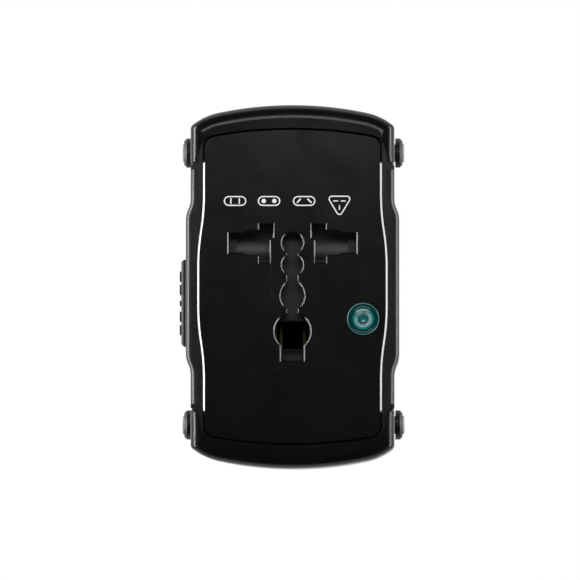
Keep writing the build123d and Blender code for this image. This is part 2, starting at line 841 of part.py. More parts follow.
with BuildPart() as fuse_end_caps:
    for z in clip_heights:
        with Locations((fuse_x, fuse_y, mid_z + z)):
            Cylinder(fuse_cap_radius, fuse_cap_length)
save(fuse_end_caps.part, "fuse_end_caps")

with BuildPart() as fuse_clips:
    for z in clip_heights:
        low, high = z - fuse_clip_width / 2, z + fuse_clip_width / 2
        outer = fuse_cap_radius + sheet
        block(fuse_x - outer, fuse_x + outer, fuse_tray_y - sheet, fuse_tray_y, low, high)
        for left in (fuse_x - outer, fuse_x + fuse_cap_radius):
            block(left, left + sheet, fuse_y - fuse_cap_radius / 2, fuse_tray_y - sheet, low, high)
save(fuse_clips.part, "fuse_clips")

# Four screws from the rear into the posts of the frame
with BuildPart() as housing_screws:
    for x in (-screw_x, screw_x):
        for z in (-screw_z, screw_z):
            rod(x, z, screw_head_y, screw_head_y + screw_head_height, screw_head_radius)
            rod(x, z, screw_tip_y, screw_head_y, screw_radius)
save(housing_screws.part, "housing_screws")


def carriage_plate(plate_y, wall, low, high):
    """A carriage's plate, cut to the hollow that it slides in."""
    with BuildSketch(facing_front(plate_y)) as section:
        add(inset_outline(wall + slide_gap, low, high))
    extrude(section.sketch, amount=carriage_thickness)


def bar_pin(x, z, width, tall, start, end, mode=Mode.ADD):
    """A rectangular pin along the depth."""
    block(x - width / 2, x + width / 2, start, end, z - tall / 2, z + tall / 2, mode=mode)


# British carriage, in the middle bay behind the contact block
uk_front_y = uk_plate_y - carriage_thickness
uk_finger_z = partition_inner - seat_gap - sheet - wiper_reach_gap
uk_shanks = ((-uk_pin_x, uk_pin_z), (uk_pin_x, uk_pin_z), (0, uk_earth_z))
with BuildPart() as uk_carriage:
    carriage_plate(uk_plate_y, side_wall, -uk_plate_half, uk_plate_half)
    for inner in (-uk_cheek_outer, uk_cheek_outer - cheek_thickness):
        low, high = grip_z - uk_cheek_half, grip_z + uk_cheek_half
        block(inner, inner + cheek_thickness, uk_plate_y - uk_cheek_length, uk_plate_y, low, high)
    for x, z in uk_shanks:
        width, tall = uk_shank_width + 2 * shank_gap, uk_shank_height + 2 * shank_gap
        bar_pin(x, z, width, tall, uk_front_y, uk_plate_y, mode=Mode.SUBTRACT)
    for side in (-1, 1):
        edges = (side * (bar_x + bar_width / 2 + shank_gap), side * (uk_pin_x - wiper_lap - shank_gap))
        low = uk_pin_z - wiper_lap - shank_gap
        block(min(edges), max(edges), uk_front_y, uk_front_y + sheet, low, uk_plate_half, mode=Mode.SUBTRACT)
    half = bar_width / 2 + shank_gap
    high = uk_earth_z + wiper_lap + shank_gap
    block(-half, half, uk_front_y, uk_front_y + sheet, -uk_plate_half, high, mode=Mode.SUBTRACT)
save(uk_carriage.part, "uk_carriage")

# British live pins: a bare tip on a slimmer core that the sleeve covers
uk_core_end = uk_plate_y + pin_overrun + uk_sleeve_length
for label, x in (("uk_line_pin", -uk_pin_x), ("uk_neutral_pin", uk_pin_x)):
    with BuildPart() as live_pin:
        tip_y = uk_plate_y + pin_overrun + uk_pin_length
        bar_pin(x, uk_pin_z, uk_pin_width, uk_pin_height, uk_core_end, tip_y)
        chamfer(live_pin.faces().sort_by(Axis.Y)[-1].edges(), pin_tip_bevel)
        width, tall = uk_pin_width - 2 * uk_sleeve_wall, uk_pin_height - 2 * uk_sleeve_wall
        bar_pin(x, uk_pin_z, width, tall, uk_plate_y, uk_core_end)
        bar_pin(x, uk_pin_z, uk_shank_width, uk_shank_height, uk_front_y + sheet, uk_plate_y)
    save(live_pin.part, label)

with BuildPart() as uk_pin_sleeves:
    for x in (-uk_pin_x, uk_pin_x):
        bar_pin(x, uk_pin_z, uk_pin_width, uk_pin_height, uk_plate_y, uk_core_end)
        width, tall = uk_pin_width - 2 * uk_sleeve_wall, uk_pin_height - 2 * uk_sleeve_wall
        bar_pin(x, uk_pin_z, width, tall, uk_plate_y, uk_core_end, mode=Mode.SUBTRACT)
save(uk_pin_sleeves.part, "uk_pin_sleeves")

with BuildPart() as uk_earth_pin:
    tip_y = uk_plate_y + pin_overrun + uk_earth_length
    bar_pin(0, uk_earth_z, uk_earth_width, uk_earth_height, uk_plate_y, tip_y)
    chamfer(uk_earth_pin.faces().sort_by(Axis.Y)[-1].edges(), pin_tip_bevel)
    bar_pin(0, uk_earth_z, uk_shank_width, uk_shank_height, uk_front_y + sheet, uk_plate_y)
save(uk_earth_pin.part, "uk_earth_pin")

# Wipers of the British carriage, let into its front, with fingers that reach for the bars
with BuildPart() as uk_wipers:
    for side in (-1, 1):
        edges = (side * (bar_x + bar_width / 2), side * (uk_pin_x - wiper_lap))
        block(min(edges), max(edges), uk_front_y, uk_front_y + sheet, uk_pin_z - wiper_lap, uk_finger_z)
    half = bar_width / 2
    block(-half, half, uk_front_y, uk_front_y + sheet, -uk_finger_z, uk_earth_z + wiper_lap)
save(uk_wipers.part, "uk_wipers")

# Side slider: a ribbed pad on the left wall with a neck through its slot
grip_inner_x = mid_width / 2 + knob_gap
grip_outer_x = grip_inner_x + grip_thickness
with BuildPart() as uk_slider_grip:
    front, back = grip_y - grip_length / 2, grip_y + grip_length / 2
    low, high = grip_z - grip_height / 2, grip_z + grip_height / 2
    block(-grip_outer_x, -grip_inner_x, front, back, low, high)
    fillet(uk_slider_grip.faces().sort_by(Axis.X)[0].edges(), grip_round)
    for step in range(-2, 3):
        z = grip_z + step * grip_rib_pitch
        tall = grip_mark_height if step == 0 else grip_rib_height
        with BuildSketch(facing_left(-grip_outer_x + grip_rib, grip_y, z)):
            RectangleRounded(grip_rib_length, tall, tall / 2 - grip_rib_flat)
        extrude(amount=2 * grip_rib)
    front, back = grip_y - grip_neck_length / 2, grip_y + grip_neck_length / 2
    low, high = grip_z - grip_neck_height / 2, grip_z + grip_neck_height / 2
    block(-grip_inner_x, -uk_cheek_outer, front, back, low, high)
save(uk_slider_grip.part, "uk_slider_grip")


def bay_span(inner, outer, z):
    """The lowest and highest of two distances from mid height, in the bay that z lies in."""
    return (inner, outer) if z > 0 else (-outer, -inner)


def knobbed_carriage(plate_y, z):
    """A plate across an end bay with two cheeks that carry the corner knobs."""
    low, high = bay_span(partition_outer + end_plate_margin, end_pin_z + end_plate_half, z)
    carriage_plate(plate_y, end_wall, low, high)
    low, high = bay_span(screw_z + boss_radius + cheek_margin, end_pin_z + cheek_half, z)
    with BuildSketch(facing_front(plate_y)) as cheeks:
        add(inset_outline(end_wall + slide_gap, low, high))
        with Locations((0, z)):
            Rectangle(2 * (cheek_outer - cheek_thickness), height, mode=Mode.SUBTRACT)
    extrude(cheeks.sketch, amount=cheek_length)
    with BuildSketch(facing_right(0, plate_y - knob_setback, z)) as stem_hole:
        Circle(button_stem_radius + running_gap)
    extrude(stem_hole.sketch, amount=mid_width, both=True, mode=Mode.SUBTRACT)


def end_bay_wipers(plate_y, pin_x, z):
    """Two wipers on the front of an end carriage, from its pins to the bars."""
    front_face = plate_y - carriage_thickness
    finger = partition_outer + seat_gap + sheet + wiper_reach_gap
    for side in (-1, 1):
        outer, inner = side * (bar_x + bar_width / 2), side * (pin_x - wiper_lap)
        left, right = min(inner, outer), max(inner, outer)
        block(left, right, front_face - sheet, front_face, z - wiper_lap, z + wiper_lap)
        inner = side * (bar_x - bar_width / 2)
        left, right = min(inner, outer), max(inner, outer)
        low, high = bay_span(finger, end_pin_z, z)
        block(left, right, front_face - sheet, front_face, low, high)


# Continental carriage, in the top bay
eu_front_y = eu_plate_y - carriage_thickness
with BuildPart() as eu_carriage:
    knobbed_carriage(eu_plate_y, eu_pin_z)
    for x in (-eu_pin_x, eu_pin_x):
        rod(x, eu_pin_z, eu_front_y, eu_plate_y, eu_shank_radius + shank_gap, mode=Mode.SUBTRACT)
save(eu_carriage.part, "eu_carriage")

with BuildPart() as eu_wipers:
    end_bay_wipers(eu_plate_y, eu_pin_x, eu_pin_z)
    for x in (-eu_pin_x, eu_pin_x):
        rod(x, eu_pin_z, eu_front_y - sheet, eu_front_y, eu_shank_radius + shank_gap, mode=Mode.SUBTRACT)
save(eu_wipers.part, "eu_wipers")

# Continental pins: round tips on slimmer cores, riveted through the plate
eu_core_end = eu_plate_y + pin_overrun + eu_sleeve_length
for label, x in (("eu_left_pin", -eu_pin_x), ("eu_right_pin", eu_pin_x)):
    with BuildPart() as round_pin:
        rod(x, eu_pin_z, eu_core_end, eu_plate_y + pin_overrun + eu_pin_length, eu_pin_radius)
        fillet(round_pin.faces().sort_by(Axis.Y)[-1].edges(), eu_pin_radius - eu_tip_flat)
        rod(x, eu_pin_z, eu_plate_y, eu_core_end, eu_core_radius)
        rod(x, eu_pin_z, eu_front_y - sheet, eu_plate_y, eu_shank_radius)
        rod(x, eu_pin_z, eu_front_y - sheet - eu_rivet, eu_front_y - sheet, eu_rivet_radius)
    save(round_pin.part, label)

with BuildPart() as eu_pin_sleeves:
    for x in (-eu_pin_x, eu_pin_x):
        rod(x, eu_pin_z, eu_plate_y, eu_core_end, eu_pin_radius)
        rod(x, eu_pin_z, eu_plate_y, eu_core_end, eu_core_radius, mode=Mode.SUBTRACT)
save(eu_pin_sleeves.part, "eu_pin_sleeves")

# American carriage, in the bottom bay, with a round seat for each turning blade
us_front_y = us_plate_y - carriage_thickness
flange_front_y = us_front_y + slide_gap
flange_back_y = flange_front_y + turret_flange
with BuildPart() as us_carriage:
    knobbed_carriage(us_plate_y, us_pin_z)
    for x in (-us_pin_x, us_pin_x):
        rod(x, us_pin_z, us_front_y, us_plate_y, turret_journal_radius + running_gap, mode=Mode.SUBTRACT)
        seat_radius = turret_flange_radius + slide_gap
        rod(x, us_pin_z, us_front_y, flange_back_y + turret_gap, seat_radius, mode=Mode.SUBTRACT)
save(us_carriage.part, "us_carriage")

with BuildPart() as us_wipers:
    end_bay_wipers(us_plate_y, us_pin_x, us_pin_z)
save(us_wipers.part, "us_wipers")

# Turrets and blades: each blade stands in a round turret that turns in the plate
turret_back_y = us_plate_y + turret_gap + turret_length
blade_start_y = us_plate_y + turret_gap
blade_tip_y = us_plate_y + pin_overrun + us_blade_length
for side_name, x in (("left", -us_pin_x), ("right", us_pin_x)):
    with BuildPart() as turret:
        rod(x, us_pin_z, blade_start_y, turret_back_y, turret_radius)
        rod(x, us_pin_z, flange_front_y, blade_start_y, turret_journal_radius)
        rod(x, us_pin_z, flange_front_y, flange_back_y, turret_flange_radius)
        width, tall = us_blade_thickness + 2 * shank_gap, us_blade_width + 2 * shank_gap
        bar_pin(x, us_pin_z, width, tall, blade_start_y, turret_back_y, mode=Mode.SUBTRACT)
        tall = us_shank_height + 2 * shank_gap
        bar_pin(x, us_pin_z, width, tall, flange_front_y, blade_start_y, mode=Mode.SUBTRACT)
    save(turret.part, f"us_{side_name}_turret")
    with BuildPart() as blade:
        bar_pin(x, us_pin_z, us_blade_thickness, us_blade_width, blade_start_y, blade_tip_y)
        chamfer(blade.faces().sort_by(Axis.Y)[-1].edges(), blade_tip_bevel)
        bar_pin(x, us_pin_z, us_blade_thickness, us_shank_height, flange_front_y, blade_start_y)
    save(blade.part, f"us_{side_name}_blade")

# Corner knobs: a collar on a hollow stem, with a sprung release button in its middle
collar_inner = end_width / 2 + knob_gap
knob_reach = collar_inner + knob_collar
button_reach = knob_reach + button_proud
cap_inner = button_reach - button_cap
button_seat = cap_inner - button_travel - running_gap
cheek_inner = cheek_outer - cheek_thickness
head_outer = cheek_inner - knob_gap
head_inner = head_outer - button_head
for plug, knob_y, z in (("eu", eu_knob_y, eu_pin_z), ("us", us_knob_y, us_pin_z)):
    for side_name, side, facing in (("left", -1, facing_left), ("right", 1, facing_right)):
        with BuildPart() as knob:
            with BuildSketch(facing(side * collar_inner, knob_y, z)):
                Circle(knob_radius)
            extrude(amount=knob_reach - collar_inner)
            chamfer(knob.faces().sort_by(Axis.X)[-1 if side > 0 else 0].edges(), knob_bevel)
            with BuildSketch(facing(side * cheek_outer, knob_y, z)):
                Circle(knob_stem_radius)
            extrude(amount=collar_inner - cheek_outer)
            with BuildSketch(facing(side * button_seat, knob_y, z)):
                Circle(button_radius + running_gap)
            extrude(amount=knob_reach - button_seat, mode=Mode.SUBTRACT)
            with BuildSketch(facing(side * cheek_outer, knob_y, z)):
                Circle(button_bore_radius)
            extrude(amount=knob_reach - cheek_outer, mode=Mode.SUBTRACT)
        save(knob.part, f"{plug}_{side_name}_knob")
        with BuildPart() as button:
            with BuildSketch(facing(side * cap_inner, knob_y, z)):
                Circle(button_radius)
            extrude(amount=button_cap)
            fillet(button.faces().sort_by(Axis.X)[-1 if side > 0 else 0].edges(), button_round)
            with BuildSketch(facing(side * head_inner, knob_y, z)):
                Circle(button_stem_radius)
            extrude(amount=cap_inner - head_inner)
            with BuildSketch(facing(side * head_inner, knob_y, z)):
                Circle(button_head_radius)
            extrude(amount=button_head)
        save(button.part, f"{plug}_{side_name}_button")
        with BuildPart() as button_spring:
            inset = button_spring_wire + running_gap
            rise = cap_inner - cheek_outer - 2 * inset
            foot = Vector(side * (cheek_outer + inset), knob_y, mid_z + z)
            with BuildLine() as coil:
                Helix(
                    rise / button_spring_turns,
                    rise,
                    button_spring_radius,
                    center=foot,
                    direction=(side, 0, 0),
                )
            with BuildSketch(Plane(origin=coil.line @ 0, z_dir=coil.line % 0)):
                Circle(button_spring_wire)
            sweep(path=coil.line, is_frenet=True)
        save(button_spring.part, f"{plug}_{side_name}_button_spring")
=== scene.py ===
import json
import math

import bmesh
import bpy
from bpy.props import FloatProperty, FloatVectorProperty, IntProperty, PointerProperty
from mathutils import Matrix, Vector


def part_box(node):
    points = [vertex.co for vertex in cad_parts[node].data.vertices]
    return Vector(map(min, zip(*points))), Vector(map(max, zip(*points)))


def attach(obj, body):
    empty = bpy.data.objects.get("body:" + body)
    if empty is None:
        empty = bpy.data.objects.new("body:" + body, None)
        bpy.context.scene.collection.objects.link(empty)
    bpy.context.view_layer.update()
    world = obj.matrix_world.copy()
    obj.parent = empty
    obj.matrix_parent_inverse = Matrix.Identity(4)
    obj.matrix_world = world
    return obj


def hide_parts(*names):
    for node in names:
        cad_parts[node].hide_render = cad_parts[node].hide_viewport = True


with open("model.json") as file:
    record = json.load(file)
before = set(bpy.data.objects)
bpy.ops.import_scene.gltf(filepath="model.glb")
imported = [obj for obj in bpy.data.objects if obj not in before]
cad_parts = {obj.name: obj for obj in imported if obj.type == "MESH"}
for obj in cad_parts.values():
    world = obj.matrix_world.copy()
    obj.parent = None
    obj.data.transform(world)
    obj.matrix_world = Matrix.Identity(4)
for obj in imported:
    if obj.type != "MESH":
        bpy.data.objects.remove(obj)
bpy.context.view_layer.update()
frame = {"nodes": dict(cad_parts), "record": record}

bl_info = {
    "name": "Travel Adapter Studio",
    "version": (1, 0, 0),
    "blender": (4, 5, 0),
    "location": "View3D > Sidebar > Adapter",
    "description": "Dresses a travel adapter with its print, its finishes and its studio",
    "category": "Object",
}

MM = 0.001
MID_Z = (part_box("front_frame")[0].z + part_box("front_frame")[1].z) / 2


# Settings
class AdapterSizes(bpy.types.PropertyGroup):
    """Sizes of what is drawn or cut in the scene"""

    edge_round: FloatProperty(
        name="Edge round", description="Radius that catches light on moulded edges",
        default=0.12 * MM, min=0, unit="LENGTH",
    )
    cap_round: FloatProperty(
        name="Cap round", description="Radius on the soft edges of the end caps",
        default=0.3 * MM, min=0, unit="LENGTH",
    )
    print_depth: FloatProperty(
        name="Print depth", description="Thickness of the printed ink",
        default=0.03 * MM, min=0, unit="LENGTH",
    )
    print_stroke: FloatProperty(
        name="Print stroke", description="Line width of the plug signs",
        default=0.27 * MM, min=0, unit="LENGTH",
    )
    badge_width: FloatProperty(
        name="Badge width", description="Width of one long plug sign",
        default=5.1 * MM, min=0, unit="LENGTH",
    )
    badge_height: FloatProperty(
        name="Badge height", description="Height of one long plug sign",
        default=2.25 * MM, min=0, unit="LENGTH",
    )
    screw_recess: FloatProperty(
        name="Screw recess", description="Depth of the cross in a screw head",
        default=1.2 * MM, min=0, unit="LENGTH",
    )
    screw_pitch: FloatProperty(
        name="Screw pitch", description="From one turn of a screw's thread to the next",
        default=1.1 * MM, min=0.1 * MM, unit="LENGTH",
    )
    ring_steps: IntProperty(
        name="Ring steps", description="Number of sides of a turned piece", default=128, min=24,
    )


class AdapterColours(bpy.types.PropertyGroup):
    """Colours of the finishes"""

    panel: FloatVectorProperty(
        name="Panel", description="Gloss black of the front panel",
        default=(0.0026, 0.0026, 0.0028), subtype="COLOR", size=3, min=0, max=1,
    )
    casing: FloatVectorProperty(
        name="Casing", description="Satin black of the casing",
        default=(0.0095, 0.0095, 0.0099), subtype="COLOR", size=3, min=0, max=1,
    )
    bumper: FloatVectorProperty(
        name="End caps", description="Soft black of the end caps",
        default=(0.0028, 0.0028, 0.0029), subtype="COLOR", size=3, min=0, max=1,
    )
    grip: FloatVectorProperty(
        name="Grips", description="Black of the slider and the knobs",
        default=(0.0045, 0.0045, 0.0045), subtype="COLOR", size=3, min=0, max=1,
    )
    button: FloatVectorProperty(
        name="Buttons", description="Pale grey of the release buttons",
        default=(0.42, 0.43, 0.44), subtype="COLOR", size=3, min=0, max=1,
    )
    lens: FloatVectorProperty(
        name="Lens", description="Teal of the indicator lens",
        default=(0.004, 0.15, 0.155), subtype="COLOR", size=3, min=0, max=1,
    )
    ink: FloatVectorProperty(
        name="Ink", description="White of the print",
        default=(0.82, 0.82, 0.82), subtype="COLOR", size=3, min=0, max=1,
    )
    brass: FloatVectorProperty(
        name="Brass", description="Brass of the contacts and pins",
        default=(0.72, 0.53, 0.25), subtype="COLOR", size=3, min=0, max=1,
    )
    nickel: FloatVectorProperty(
        name="Nickel", description="Plating of the round pins and blades",
        default=(0.66, 0.64, 0.60), subtype="COLOR", size=3, min=0, max=1,
    )


class AdapterStudio(bpy.types.PropertyGroup):
    """The camera, the lamps and the floor"""

    azimuth: FloatProperty(
        name="Azimuth", description="Turn of the camera to the right of the socket face",
        default=math.radians(0.5), subtype="ANGLE",
    )
    elevation: FloatProperty(
        name="Elevation", description="Rise of the camera above the horizon",
        default=math.radians(-1.2), subtype="ANGLE",
    )
    distance: FloatProperty(
        name="Distance", description="From the camera to the adapter",
        default=2.5, min=0.2, unit="LENGTH",
    )
    frame_height: FloatProperty(
        name="Frame height", description="What the picture takes in at the adapter",
        default=132.7 * MM, min=0.01, unit="LENGTH",
    )
    aim_x: FloatProperty(
        name="Aim across", description="Middle of the picture across the adapter",
        default=-0.78 * MM, unit="LENGTH",
    )
    aim_z: FloatProperty(
        name="Aim up", description="Middle of the picture above the adapter's middle",
        default=-0.23 * MM, unit="LENGTH",
    )
    strip_power: FloatProperty(
        name="Side strips", description="Power of the left one of the two upright strips",
        default=9.2, min=0, unit="POWER",
    )
    right_share: FloatProperty(
        name="Right strip", description="Share of the left strip's power that the right one gets",
        default=0.62, min=0, subtype="FACTOR",
    )
    top_power: FloatProperty(
        name="Top box", description="Power of the box over the adapter", default=0.3, min=0, unit="POWER",
    )
    front_power: FloatProperty(
        name="Front box", description="Power of the box over the camera", default=0.22, min=0, unit="POWER",
    )
    low_power: FloatProperty(
        name="Low card", description="Power of the card under the camera", default=0.1, min=0, unit="POWER",
    )
    ambient: FloatProperty(
        name="Ambient", description="Even light from all round", default=0.6, min=0,
    )


# Shader node groups
def group_tree(name, inputs, outputs):
    """A shader node group: its named inputs with their defaults, and its named outputs, all numbers."""
    tree = bpy.data.node_groups.new(name, "ShaderNodeTree")
    for label, value in inputs.items():
        kind = "NodeSocketVector" if isinstance(value, tuple) else "NodeSocketFloat"
        socket = tree.interface.new_socket(name=label, in_out="INPUT", socket_type=kind)
        socket.default_value = value
    for label in outputs:
        tree.interface.new_socket(name=label, in_out="OUTPUT", socket_type="NodeSocketFloat")
    return tree, tree.nodes.new("NodeGroupInput").outputs, tree.nodes.new("NodeGroupOutput").inputs


def feed(tree, socket, value):
    """Links a socket to the one given for it, or sets it to the value given."""
    if isinstance(value, bpy.types.NodeSocket):
        tree.links.new(value, socket)
    else:
        socket.default_value = value


def object_coordinates(tree):
    """The piece's own coordinates."""
    return tree.nodes.new("ShaderNodeTexCoord").outputs["Object"]


def math_node(tree, operation, first, second, clamp=False):
    """A Math node, fed by numbers or sockets."""
    node = tree.nodes.new("ShaderNodeMath")
    node.operation = operation
    node.use_clamp = clamp
    feed(tree, node.inputs[0], first)
    feed(tree, node.inputs[1], second)
    return node.outputs[0]


def vector_node(tree, operation, first, second=None, output="Vector"):
    """A Vector Math node, fed by a socket and, where it needs one, a second socket or a vector."""
    node = tree.nodes.new("ShaderNodeVectorMath")
    node.operation = operation
    feed(tree, node.inputs[0], first)
    if second is not None:
        feed(tree, node.inputs[1], second)
    return node.outputs[output]


def noise_node(tree, scale, detail, vector=None, roughness=0.5):
    """A noise texture on object coordinates, or on a given vector."""
    node = tree.nodes.new("ShaderNodeTexNoise")
    feed(tree, node.inputs["Scale"], scale)
    feed(tree, node.inputs["Detail"], detail)
    feed(tree, node.inputs["Roughness"], roughness)
    feed(tree, node.inputs["Vector"], object_coordinates(tree) if vector is None else vector)
    return node.outputs["Fac"]


def ramp_node(tree, value, low, high, to_low=0.0, to_high=1.0):
    """A clamped Map Range node."""
    node = tree.nodes.new("ShaderNodeMapRange")
    node.inputs["From Min"].default_value = low
    node.inputs["From Max"].default_value = high
    node.inputs["To Min"].default_value = to_low
    node.inputs["To Max"].default_value = to_high
    tree.links.new(value, node.inputs["Value"])
    return node.outputs["Result"]


def moulded_grain():
    """Spark-eroded grain of moulded plastic: a fine pebble and a slow change of tone."""
    tree, given, made = group_tree("Moulded grain", {"Grain size": 0.18 * MM}, ("Height", "Tone", "Gloss"))
    coordinates = object_coordinates(tree)
    scale = math_node(tree, "DIVIDE", 1.0, given["Grain size"])
    pebble = tree.nodes.new("ShaderNodeTexVoronoi")
    pebble.feature = "SMOOTH_F1"
    tree.links.new(coordinates, pebble.inputs["Vector"])
    tree.links.new(scale, pebble.inputs["Scale"])
    fine = noise_node(tree, scale=scale, detail=3.0, vector=coordinates)
    height = math_node(tree, "ADD", pebble.outputs["Distance"], fine)
    tone = noise_node(tree, scale=45.0, detail=2.0, vector=coordinates)
    gloss = noise_node(tree, scale=160.0, detail=4.0, vector=coordinates, roughness=0.65)
    tree.links.new(height, made["Height"])
    tree.links.new(tone, made["Tone"])
    tree.links.new(gloss, made["Gloss"])
    return tree


def handling_marks():
    """Faint smears and hairline scratches left by hands and pockets."""
    tree, given, made = group_tree(
        "Handling marks", {"Smear": 0.5, "Scratch": 0.5}, ("Roughness", "Scratch mask")
    )
    coordinates = object_coordinates(tree)
    cloud = noise_node(tree, scale=55.0, detail=5.0, vector=coordinates, roughness=0.7)
    smear = math_node(tree, "MULTIPLY", ramp_node(tree, cloud, low=0.42, high=0.72), given["Smear"])
    masks = []
    for turn, fineness in ((0.5, 900.0), (-0.9, 700.0)):
        mapping = tree.nodes.new("ShaderNodeMapping")
        mapping.inputs["Rotation"].default_value = (0.0, turn, 0.0)
        mapping.inputs["Scale"].default_value = (fineness, fineness, 12.0)
        tree.links.new(coordinates, mapping.inputs["Vector"])
        line = noise_node(tree, scale=1.0, detail=2.0, vector=mapping.outputs["Vector"])
        masks.append(ramp_node(tree, line, low=0.69, high=0.74))
    handled = noise_node(tree, scale=90.0, detail=2.0, vector=coordinates)
    patch = ramp_node(tree, handled, low=0.5, high=0.65)
    hairlines = math_node(tree, "MULTIPLY", math_node(tree, "MAXIMUM", *masks), patch)
    hairlines = math_node(tree, "MULTIPLY", hairlines, given["Scratch"])
    line_roughness = 0.25
    rough = math_node(tree, "ADD", math_node(tree, "MULTIPLY", hairlines, line_roughness), smear)
    tree.links.new(rough, made["Roughness"])
    tree.links.new(hairlines, made["Scratch mask"])
    return tree


def edge_wear():
    """Where an edge is: the rounded normal turns away from the true one there."""
    tree, given, made = group_tree("Edge wear", {"Reach": 0.35 * MM, "Amount": 1.0}, ("Mask",))
    bevel = tree.nodes.new("ShaderNodeBevel")
    bevel.samples = 4
    tree.links.new(given["Reach"], bevel.inputs["Radius"])
    true_normal = tree.nodes.new("ShaderNodeNewGeometry").outputs["Normal"]
    alike = vector_node(tree, "DOT_PRODUCT", bevel.outputs["Normal"], true_normal, output="Value")
    away = math_node(tree, "SUBTRACT", 1.0, alike)
    mask = ramp_node(tree, away, low=0.02, high=0.25)
    broken = ramp_node(tree, noise_node(tree, scale=700.0, detail=3.0), low=0.35, high=0.6)
    mask = math_node(tree, "MULTIPLY", mask, broken)
    mask = math_node(tree, "MULTIPLY", mask, given["Amount"], clamp=True)
    tree.links.new(mask, made["Mask"])
    return tree


def drawn_metal():
    """Fine lines of drawn or stamped metal, and the tarnish that gathers on it."""
    tree, given, made = group_tree(
        "Drawn metal", {"Line scale": (9000.0, 300.0, 9000.0), "Tarnish": 0.3},
        ("Height", "Roughness", "Tarnish mask"),
    )
    coordinates = object_coordinates(tree)
    stretched = vector_node(tree, "MULTIPLY", coordinates, given["Line scale"])
    line = noise_node(tree, scale=1.0, detail=3.0, vector=stretched)
    cloud = noise_node(tree, scale=220.0, detail=5.0, vector=coordinates, roughness=0.7)
    stain = math_node(tree, "MULTIPLY", ramp_node(tree, cloud, low=0.45, high=0.75), given["Tarnish"])
    line_roughness, stain_roughness = 0.18, 0.35
    rough = math_node(tree, "MULTIPLY", line, line_roughness)
    rough = math_node(tree, "ADD", rough, math_node(tree, "MULTIPLY", stain, stain_roughness))
    tree.links.new(line, made["Height"])
    tree.links.new(rough, made["Roughness"])
    tree.links.new(stain, made["Tarnish mask"])
    return tree


def shared_group(builder):
    """The group that a builder makes, made only once."""
    for tree in bpy.data.node_groups:
        if tree.get("maker") == builder.__name__:
            return tree
    tree = builder()
    tree["maker"] = builder.__name__
    return tree


def place_group(tree, builder, **values):
    """The outputs of a group placed in a material with its own values."""
    node = tree.nodes.new("ShaderNodeGroup")
    node.node_tree = shared_group(builder)
    for label, value in values.items():
        node.inputs[label.replace("_", " ")].default_value = value
    return node.outputs


# Finishes
FINISHES = {}


def mixed(tree, factor, first, second):
    """A colour between two, by a mask that varies over the surface."""
    node = tree.nodes.new("ShaderNodeMix")
    node.data_type = "RGBA"
    tree.links.new(factor, node.inputs["Factor"])
    for label, colour in (("A", first), ("B", second)):
        if not isinstance(colour, bpy.types.NodeSocket):
            colour = (*colour[:3], 1.0)
        feed(tree, node.inputs[label], colour)
    return node.outputs["Result"]


def bump(tree, height, distance):
    """The normal that a height gives the surface, in metres for each unit of height."""
    node = tree.nodes.new("ShaderNodeBump")
    node.inputs["Distance"].default_value = distance
    tree.links.new(height, node.inputs["Height"])
    return node.outputs["Normal"]


def colour_stops(tree, position, stops, banded=False):
    """A colour along a position, from (position, colour) stops in rising order."""
    ramp = tree.nodes.new("ShaderNodeValToRGB")
    if banded:
        ramp.color_ramp.interpolation = "CONSTANT"
    tree.links.new(position, ramp.inputs["Fac"])
    elements = ramp.color_ramp.elements
    while len(elements) < len(stops):
        elements.new(1.0)
    for element, (stop, colour) in zip(elements, stops):
        element.position = stop
        element.color = (*colour, 1.0)
    return ramp.outputs["Color"]


def rough_patches(tree, shader, scale, low, high, detail=3.0):
    """Roughness that wanders between two values, and the noise that it follows."""
    patch = noise_node(tree, scale, detail)
    rough = ramp_node(tree, patch, low=0.3, high=0.7, to_low=low, to_high=high)
    tree.links.new(rough, shader.inputs["Roughness"])
    return patch


def new_finish(name):
    """Starts the material of a slot, and gives its tree and its Principled shader."""
    material = bpy.data.materials.new(name)
    material.use_nodes = True
    FINISHES[name] = material
    tree = material.node_tree
    tree.nodes.clear()
    shader = tree.nodes.new("ShaderNodeBsdfPrincipled")
    output = tree.nodes.new("ShaderNodeOutputMaterial")
    tree.links.new(shader.outputs["BSDF"], output.inputs["Surface"])
    return tree, shader


def lighter(colour, share):
    """A colour moved towards white by a share."""
    return tuple(c + (1.0 - c) * share for c in colour[:3])


def darker(colour, share):
    """A colour cut down to a share of itself."""
    return tuple(c * share for c in colour[:3])


def moulded_plastic(name, colour, roughness, depth, grain=0.18 * MM, wear=0.5, smear=0.1, coat=0.0,
                    scratch=0.5, specular=0.5):
    """Moulded plastic: grain, slow tone, smears, and edges polished a little by use."""
    slow_share, worn_share, scratch_share = 0.0012, 0.012, 0.02
    gloss_swing = 0.12
    edge_polish = 0.12
    tree, shader = new_finish(name)
    texture = place_group(tree, moulded_grain, Grain_size=grain)
    marks = place_group(tree, handling_marks, Smear=smear, Scratch=scratch)
    edges = place_group(tree, edge_wear, Amount=wear)
    tone = mixed(tree, texture["Tone"], colour, lighter(colour, slow_share))
    worn = mixed(tree, edges["Mask"], tone, lighter(colour, worn_share))
    scratched = mixed(tree, marks["Scratch mask"], worn, lighter(colour, scratch_share))
    tree.links.new(scratched, shader.inputs["Base Color"])
    rough = math_node(tree, "MULTIPLY", texture["Gloss"], gloss_swing)
    rough = math_node(tree, "ADD", rough, roughness - gloss_swing / 2)
    rough = math_node(tree, "ADD", rough, marks["Roughness"])
    polish = math_node(tree, "MULTIPLY", edges["Mask"], -edge_polish)
    rough = math_node(tree, "ADD", rough, polish, clamp=True)
    tree.links.new(rough, shader.inputs["Roughness"])
    tree.links.new(bump(tree, texture["Height"], depth), shader.inputs["Normal"])
    shader.inputs["Coat Weight"].default_value = coat
    shader.inputs["Coat Roughness"].default_value = 0.08
    shader.inputs["Specular IOR Level"].default_value = specular


